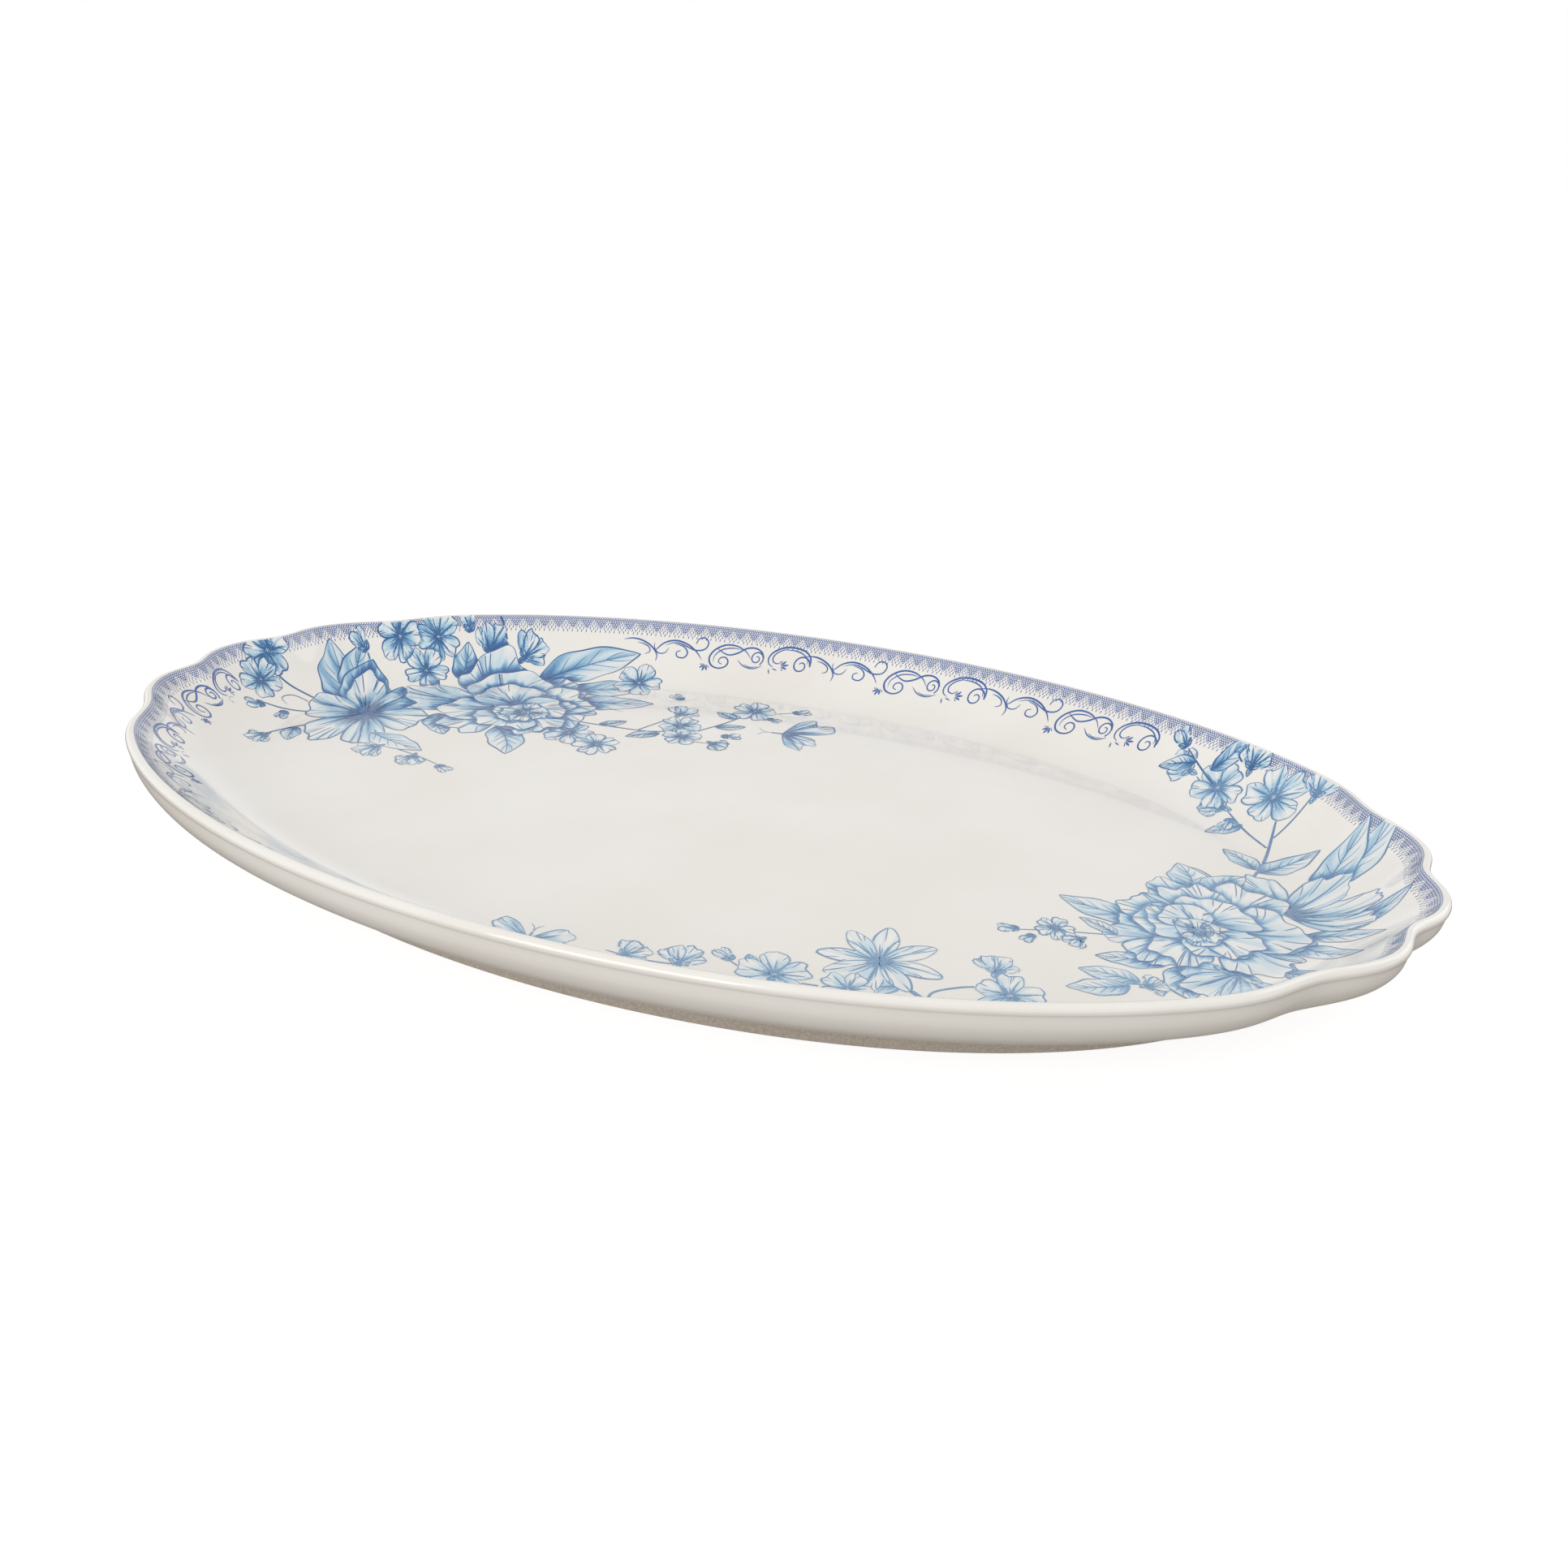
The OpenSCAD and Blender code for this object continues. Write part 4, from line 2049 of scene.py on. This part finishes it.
    def near_blossom(self) -> Film:
        """Two blossoms right of the star flower.

        Returns:
            The film.
        """
        # Printed faint: paler partly to paint in the glaze's sheen over the near side of the well
        film = Film("blossom_near", 33, PrintToneAndSheen.FAINT)
        film.stem([(110, -80), (105, -73), (101, -64)], 0.6)
        motifs = [
            HalfBlossom((102, -68), 8.0, 100),
            Blossom((109, -79), 9.0, 30),
        ]
        return draw_all(film, motifs)

    def near_leaf(self) -> Film:
        """Leaf and bud below the right spray.

        Returns:
            The film.
        """
        # Printed faint: paler partly to paint in the glaze's sheen over the near side of the well
        film = Film("leaf_near", 34, PrintToneAndSheen.FAINT)
        film.stem([(138, -54), (130, -58), (122, -62)], 0.6)
        motifs = [
            Leaf((136, -54), (120, -54), 0.28, 12, 0.6),
            Leaf((134, -57), (120, -66), 0.28, -12, 0.6),
            HalfBlossom((138, -55), 6.0, 40),
        ]
        return draw_all(film, motifs)

    def near_butterfly(self) -> Film:
        """Butterfly on the near side."""
        # Printed faint: paler partly to paint in the glaze's sheen over the near side of the well
        return draw_all(Film("butterfly_near", 35, PrintToneAndSheen.FAINT), [Butterfly((-8, -114), 18, 100, False)])

    def all(self) -> list[Film]:
        """Every flower film.

        Returns:
            The films.
        """
        return [
            self.left_spray(), self.left_sprig(), self.far_branch(), self.far_blossom(),
            self.far_butterfly(), self.right_spray(), self.right_branch(), self.right_sprig(),
            self.near_clematis(), self.near_garland(), self.near_blossom(), self.near_leaf(),
            self.near_butterfly(),
        ]


# ---- Borders ----


@dataclass
class LaceBorder:
    """Lace of small loops round the rim, with a sprinkle of dashes below."""

    dish: Dish
    ink: bpy.types.Material
    repeats: int = 197
    start: float = 2.55
    row_step: float = 0.6
    loop_sides: int = 6
    loop_half: Spot = (0.47, 0.42)
    hole_share: Spot = (0.64, 0.66)
    first_row: float = 0.32
    fan_lean: float = -0.2
    dash_half: Spot = (0.21, 0.44)
    lift: float = 0.045
    lift_step: float = 0.008
    measured_inset: float = 5.0
    rows: tuple[tuple[int, float, float, float], ...] = (
        (6, 1.0, 0.0, 1.05), (6, 1.0, 0.5, 1.05), (5, 0.86, 0.0, 1.02),
        (4, 0.68, 0.0, 1.06), (3, 0.48, 0.0, 1.12), (1, 0.0, 0.0, 1.2),
    )
    dashes: tuple[tuple[float, tuple[float, ...]], ...] = (
        (2.1, (0.5,)), (2.9, (0.38, 0.62)), (3.7, (0.24, 0.5, 0.76)),
        (4.6, (0.04, 0.37, 0.66)),
    )

    def loop_blank(self) -> bpy.types.Mesh:
        """One small loop, extruded inwards from a circle.

        Returns:
            The loop's mesh.
        """
        clear_selection()
        bpy.ops.mesh.primitive_circle_add(vertices=self.loop_sides, radius=1.0)
        blank = bpy.context.object
        bpy.ops.object.mode_set(mode="EDIT")
        bpy.ops.mesh.extrude_edges_move()
        bpy.ops.transform.resize(value=(*self.hole_share, 1.0), center_override=(0, 0, 0))
        face_outwards()
        mesh = blank.data
        bpy.data.objects.remove(blank)
        return mesh

    def unit(self, pitch: float, dash: bpy.types.Mesh) -> bpy.types.Mesh:
        """One repeat of the lace, in length along the rim and inset.

        Args:
            pitch: Length of one repeat.
            dash: Strip that each dash is copied from.

        Returns:
            The repeat's mesh.
        """
        loop = self.loop_blank()
        shape = np.array([vert.co[:2] for vert in loop.vertices])
        marks = []
        last_row = len(self.rows) - 1
        for row, (count, span, shift, size) in enumerate(self.rows):
            for k in range(count):
                x = (k + shift - (count - 1) / 2) * pitch * span / count
                lean = self.fan_lean * x * row / last_row
                turned = shape * np.array(self.loop_half) * size
                turned = turned @ np.array(
                    [[math.cos(lean), math.sin(lean)], [-math.sin(lean), math.cos(lean)]]
                )
                spots = turned + (x, self.start + self.first_row + row * self.row_step)
                level = self.lift_step * (row + 0.5 * (k % 2))
                marks.append(stamp(loop, np.column_stack([spots, np.full(len(spots), level)])))
        for depth, places in self.dashes:
            for place in places:
                middle = np.array([place * pitch, self.start + depth])
                corners = np.array([[-1, -1], [-0.4, 1], [0.4, -1], [1, 1]]) * self.dash_half
                marks.append(stamp(dash, np.column_stack([corners + middle, np.zeros(4)])))
        bpy.data.meshes.remove(loop)
        unit = join(marks, "lace_unit")
        mesh = unit.data
        bpy.data.objects.remove(unit)
        return mesh

    def build(self, blanks: Blanks, covers: list[Petal]) -> bpy.types.Object:
        """Copy the repeat round the rim, and open the lace where flowers lie over it.

        Args:
            blanks: Source of the dash's strip.
            covers: Petals of the flower films.

        Returns:
            The piece.
        """
        outline = self.dish.outline
        turns, lengths = outline.length_table(self.measured_inset)
        pitch = lengths[-1] / self.repeats
        unit = self.unit(pitch, blanks.ribbon(2))
        shape = np.array([vert.co[:] for vert in unit.vertices])
        marks = []
        for k in range(self.repeats):
            along = np.mod((k + 0.5) * pitch + shape[:, 0], lengths[-1])
            plan = outline.point(np.interp(along, lengths, turns), shape[:, 1])
            heights = self.dish.profile.height(shape[:, 1]) + self.lift + shape[:, 2]
            marks.append(stamp(unit, np.column_stack([plan, heights]) * MM))
        bpy.data.meshes.remove(unit)
        piece = join(marks, "lace_border_loops")
        self.open_under(piece, covers)
        take_up(piece)
        bpy.ops.object.mode_set(mode="EDIT")
        face_outwards()
        piece.data.materials.append(self.ink)
        return piece

    def open_under(self, piece: bpy.types.Object, covers: list[Petal]) -> None:
        """Delete the lace's faces under petals.

        Args:
            piece: The lace.
            covers: The petals over it.
        """
        middles = np.array([face.center[:2] for face in piece.data.polygons]) / MM
        drop_faces(piece, under_petals(middles, covers, np.ones(len(middles), bool)))


@dataclass
class ScrollBorder:
    """Running border of curling scrolls, drawn unit by unit along the rim."""

    node: str
    from_turn: float
    to_turn: float
    units: int
    dish: Dish
    start: float = 6.2
    depth: float = 1.0
    boldness: float = 0.88
    unit_length: float = 75.0
    measured_depth: float = 4.0

    def unit(self) -> list[PenLine]:
        """Strokes of one unit, in length along the rim and inset.

        Returns:
            Knots, width and the shares of the width at both ends, for each stroke.
        """
        strokes = [
            (self.curl((5.3, 6.7), 0.9, 3.9, 330, -180), 0.62, 0.5, 1.0),
            ([(1.5, 5.8), (2.2, 3.2), (5.0, 1.2), (9.4, 0.5), (13.8, 0.9), (17.4, 2.6),
              (19.2, 5.0), (18.7, 7.4), (16.6, 8.6)], 0.75, 0.8, 0.2),
            ([(2.7, 5.8), (3.4, 3.8), (6.0, 2.1), (9.8, 1.4), (13.2, 1.6)], 0.5, 0.3, 0.1),
            ([(12.4, 1.2), (15.8, 2.6), (17.5, 4.8), (16.8, 6.6), (14.8, 7.0), (13.8, 6.0)],
              0.55, 0.2, 0.4),
            (self.curl((24.2, 6.1), 0.7, 3.0, 300, -230), 0.55, 0.5, 1.0),
            ([(21.3, 5.6), (22.6, 3.5), (25.6, 2.3), (29.2, 2.8), (32.4, 4.8), (36.0, 5.9),
              (39.4, 4.8), (41.4, 3.6)], 0.7, 0.8, 0.1),
            ([(26.6, 6.4), (29.2, 3.9), (33.4, 2.3), (38.2, 2.4), (42.2, 4.6), (43.8, 7.8),
              (42.4, 10.8), (39.4, 11.9), (36.6, 11.0), (35.6, 8.8), (37.0, 7.0), (39.2, 7.4),
              (39.6, 9.2), (38.0, 9.9)], 0.75, 0.1, 0.4),
            ([(31.0, 3.4), (35.0, 3.2), (39.2, 4.2), (41.8, 6.8), (41.8, 9.4)], 0.5, 0.1, 0.1),
            ([(21.0, 8.6), (24.6, 10.4), (28.8, 9.8), (32.0, 7.4)], 0.55, 0.1, 0.0),
            ([(22.8, 9.2), (26.0, 9.9), (29.2, 9.0)], 0.4, 0.0, 0.0),
            ([(50.2, 3.0), (49.4, 1.2), (47.0, 0.6), (45.2, 2.2), (46.2, 4.6), (49.6, 5.4),
              (53.6, 4.4), (57.4, 3.0)], 0.6, 0.6, 0.1),
            ([(46.8, 9.0), (49.6, 5.9), (53.8, 3.4), (58.8, 2.4), (63.4, 3.6), (66.4, 6.4)],
              0.7, 0.1, 0.5),
            ([(50.8, 5.6), (54.6, 3.9), (59.0, 3.2), (62.8, 4.4)], 0.45, 0.0, 0.0),
            ([(59.0, 3.6), (55.2, 4.4), (53.2, 6.6), (54.4, 8.8), (57.2, 8.6), (57.8, 6.8),
              (56.2, 6.0)], 0.6, 0.1, 0.5),
            ([(61.2, 5.2), (62.6, 7.4), (65.4, 7.6), (67.2, 5.4), (67.2, 3.6)], 0.5, 0.2, 0.1),
            ([(66.0, 11.2), (65.8, 8.4), (68.4, 5.2), (72.4, 3.2), (76.4, 2.6), (80.0, 3.2)],
              0.7, 0.2, 0.1),
            ([(70.8, 8.4), (68.9, 7.4), (69.4, 5.6), (71.8, 4.4), (74.4, 4.0)], 0.5, 0.3, 0.0),
            ([(14.4, 9.9), (16.9, 9.2)], 0.6, 0.1, 0.3),
            ([(18.2, 9.6), (17.4, 11.8)], 0.6, 0.1, 0.3),
        ]
        strokes += self.palmette((13.6, 7.9), 195)
        strokes += self.palmette((44.8, 10.6), 75)
        return strokes

    def curl(
        self, middle: Spot, inner: float, outer: float, from_angle: float, to_angle: float
    ) -> list[Spot]:
        """Knots of a curl that opens from its middle.

        Args:
            middle: Middle of the curl.
            inner: Radius at its start.
            outer: Radius at its end.
            from_angle: Angle at its start, in degrees.
            to_angle: Angle at its end.

        Returns:
            The knots.
        """
        knots = 14
        sweep = np.radians(np.linspace(from_angle, to_angle, knots))
        radii = np.linspace(inner, outer, knots)
        return [
            (middle[0] + r * math.cos(a), middle[1] + r * math.sin(a))
            for r, a in zip(radii, sweep)
        ]

    def palmette(self, root: Spot, turn: float) -> list[PenLine]:
        """Five drops that fan out from a root.

        Args:
            root: Root of the fan.
            turn: Direction of the middle drop.

        Returns:
            The drops, as strokes.
        """
        drops = []
        for lean, reach in ((-68, 2.2), (-34, 2.9), (0, 3.3), (34, 2.9), (68, 2.2)):
            near = beside(root, turn + lean, 0.5)
            far = beside(root, turn + lean, reach)
            middle = beside(root, turn + lean, reach * 0.66)
            drops.append(([near, middle, far], 0.95, 0.2, 0.45))
        return drops

    def film(self) -> Film:
        """Draw the border.

        Returns:
            The film, with no petals.
        """
        film = Film(self.node, 41)
        outline = self.dish.outline
        turns, lengths = outline.length_table(self.start + self.measured_depth)
        first = np.interp(self.from_turn, turns, lengths)
        last = np.interp(self.to_turn, turns, lengths)
        step = (last - first) / self.units
        scale = step / self.unit_length
        for k in range(self.units):
            for knots, width, start, end in self.unit():
                path = smooth_path(knots, 0.4)
                along = first + k * step + path[:, 0] * scale
                inset = self.start + path[:, 1] * self.depth
                spots = outline.point(np.interp(along, lengths, turns), inset)
                widths = pen_widths(len(path), width * self.boldness, start, end)
                film.strokes.append(Stroke(spots, widths))
        return film


# ---- Studio ----


@dataclass
class Studio:
    """Plain pale floor, soft lights and the camera."""

    camera_at: Triple = (0.1978, -0.4478, 0.1956)
    camera_azimuth: float = 22.53
    camera_pitch: float = 19.83
    camera_roll: float = 4.12
    lens: float = 38.65
    floor_size: float = 60.0
    floor_glow: float = 0.85
    lamps: tuple[tuple[str, Triple, float, float], ...] = (
        ("key_front", (-0.45, -2.2, 0.9), 1.4, 17.0),
        ("back_right", (1.2, 1.6, 1.2), 1.4, 5.0),
    )
    sky_stops: tuple[tuple[float, Triple], ...] = (
        (0.40, (0.34, 0.312, 0.28)),
        (0.495, (1.0, 1.0, 1.0)),
        (0.575, (1.0, 1.0, 1.0)),
        (0.64, (0.82, 0.815, 0.808)),
        (1.0, (0.76, 0.755, 0.748)),
    )

    def set_camera(self) -> None:
        """Create the camera at its viewing angle."""
        data = bpy.data.cameras.new("studio_camera")
        data.lens = self.lens
        data.sensor_width = 36.0
        data.sensor_fit = "HORIZONTAL"
        data.clip_start = 0.01
        camera = bpy.data.objects.new("studio_camera", data)
        camera.matrix_world = (
            Matrix.Translation(self.camera_at)
            @ Matrix.Rotation(math.radians(self.camera_azimuth), 4, "Z")
            @ Matrix.Rotation(math.radians(90 - self.camera_pitch), 4, "X")
            @ Matrix.Rotation(math.radians(self.camera_roll), 4, "Z")
        )
        bpy.context.scene.collection.objects.link(camera)
        bpy.context.scene.camera = camera

    def set_floor(self) -> None:
        """Lay the plain pale floor."""
        clear_selection()
        bpy.ops.mesh.primitive_plane_add(size=self.floor_size)
        floor = bpy.context.object
        floor.name = "studio_floor"
        nodes = Nodes("studio_floor")
        looks = {
            "Base Color": (0.3, 0.3, 0.3, 1.0), "Roughness": 0.9, "Specular IOR Level": 0.0,
            "Emission Color": (1.0, 1.0, 1.0, 1.0), "Emission Strength": self.floor_glow,
        }
        for name, value in looks.items():
            nodes.shader.inputs[name].default_value = value
        floor.data.materials.append(nodes.material)
        floor.visible_diffuse = False
        floor.visible_glossy = False

    def add_light(
        self, name: str, at: Triple, size: float, power: float
    ) -> None:
        """Add a soft square light that points at the dish.

        Args:
            name: Name of the light.
            at: Its place in metres.
            size: Side of the square.
            power: Power in watts.
        """
        data = bpy.data.lights.new(name, "AREA")
        data.shape = "SQUARE"
        data.size = size
        data.energy = power
        lamp = bpy.data.objects.new(name, data)
        lamp.location = at
        lamp.rotation_euler = (-Vector(at)).to_track_quat("-Z", "Y").to_euler()
        bpy.context.scene.collection.objects.link(lamp)

    def set_sky(self) -> None:
        """Surround the dish with soft white light that is dimmer from below."""
        world = bpy.data.worlds.new("studio_world")
        world.use_nodes = True
        tree = world.node_tree
        background = tree.nodes["Background"]
        place = tree.nodes.new("ShaderNodeTexCoord")
        parts = tree.nodes.new("ShaderNodeSeparateXYZ")
        height = tree.nodes.new("ShaderNodeMapRange")
        height.inputs["From Min"].default_value = -1.0
        ramp = tree.nodes.new("ShaderNodeValToRGB")
        elements = ramp.color_ramp.elements
        while len(elements) < len(self.sky_stops):
            elements.new(0.5)
        for element, (level, tint) in zip(elements, self.sky_stops):
            element.position = level
            element.color = (*tint, 1.0)
        tree.links.new(place.outputs["Generated"], parts.inputs["Vector"])
        tree.links.new(parts.outputs["Z"], height.inputs["Value"])
        tree.links.new(height.outputs["Result"], ramp.inputs["Fac"])
        tree.links.new(ramp.outputs["Color"], background.inputs["Color"])
        background.inputs["Strength"].default_value = 1.0
        bpy.context.scene.world = world

    def build(self) -> None:
        """Set the whole studio."""
        self.set_camera()
        self.set_floor()
        for lamp in self.lamps:
            self.add_light(*lamp)
        self.set_sky()
        bpy.context.scene.view_settings.view_transform = "Standard"


# ---- Putting the platter together ----


def hand_over(piece: bpy.types.Object, node: str, slot: Slot) -> None:
    """Tie a piece to the frame and report it.

    Args:
        piece: The piece.
        node: CAD node that it stands for.
        slot: Material slot of its finish.
    """
    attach(piece, "root")
    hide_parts(node)
    faces = len(piece.data.polygons)
    LOG.info("%s: %d faces, stands for %s, slot %s", piece.name, faces, node, slot.value)


def main() -> None:
    """Build the platter, its prints and the studio."""
    logging.basicConfig(level=logging.INFO, format="%(name)s: %(message)s")
    rim_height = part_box("platter_body")[1].z / MM
    dish = Dish(Outline(), Profile(rim_height=rim_height))
    glaze = GlazeFinish()
    navy = InkFinish("print_navy", linear(34, 84, 156), linear(60, 108, 180), glaze).material()
    inks = {
        PrintToneAndSheen.FULL: InkFinish("print_blue", linear(34, 86, 140), linear(58, 114, 170), glaze),
        # Paler inks for the soft and faint films: partly the print's own strength, partly painted sheen
        # of the glaze on the right spray and the near side
        PrintToneAndSheen.SOFT: InkFinish("print_blue_soft_and_sheen", linear(82, 123, 168), linear(108, 148, 190), glaze),
        PrintToneAndSheen.FAINT: InkFinish("print_blue_faint_and_sheen", linear(98, 142, 184), linear(126, 166, 202), glaze),
    }
    blues = {tone: ink.material() for tone, ink in inks.items()}
    Studio().build()

    body = PlatterBody(dish, glaze.material()).build()
    hand_over(body, "platter_body", Slot.GLAZE)
    ring = StandingRing(dish, BareClayFinish().material()).build()
    hand_over(ring, "foot_ring", Slot.BARE_CLAY)

    blanks = Blanks()
    printer = Printer(dish, blanks, WashFinish(glaze).material())
    films = Sprays().all()
    covers = [petal for film in films for petal in film.petals]
    lace = LaceBorder(dish, navy).build(blanks, covers)
    hand_over(lace, "lace_border", Slot.PRINT_NAVY)
    for border in (
        ScrollBorder("scroll_far", 58.0, 121.5, 3, dish),
        ScrollBorder("scroll_left", 183.0, 249.0, 3, dish),
    ):
        film = border.film()
        piece = printer.print_strokes(f"{film.node}_strokes", film.strokes, [], covers, navy)
        hand_over(piece, film.node, Slot.PRINT_NAVY)
    first_lift = printer.wash_lift
    for number, film in enumerate(films):
        over = [petal for later in films[number + 1 :] for petal in later.petals]
        printer.wash_lift = first_lift + printer.film_step * number
        wash = printer.print_wash(f"{film.node}_wash", film.petals, over, film.tone)
        hand_over(wash, film.node, Slot.PRINT_BLUE)
        ink = blues[film.tone]
        pen = printer.print_strokes(f"{film.node}_strokes", film.strokes, film.petals, over, ink)
        hand_over(pen, film.node, Slot.PRINT_BLUE)
    blanks.clear()


if __name__ == "__main__":
    main()
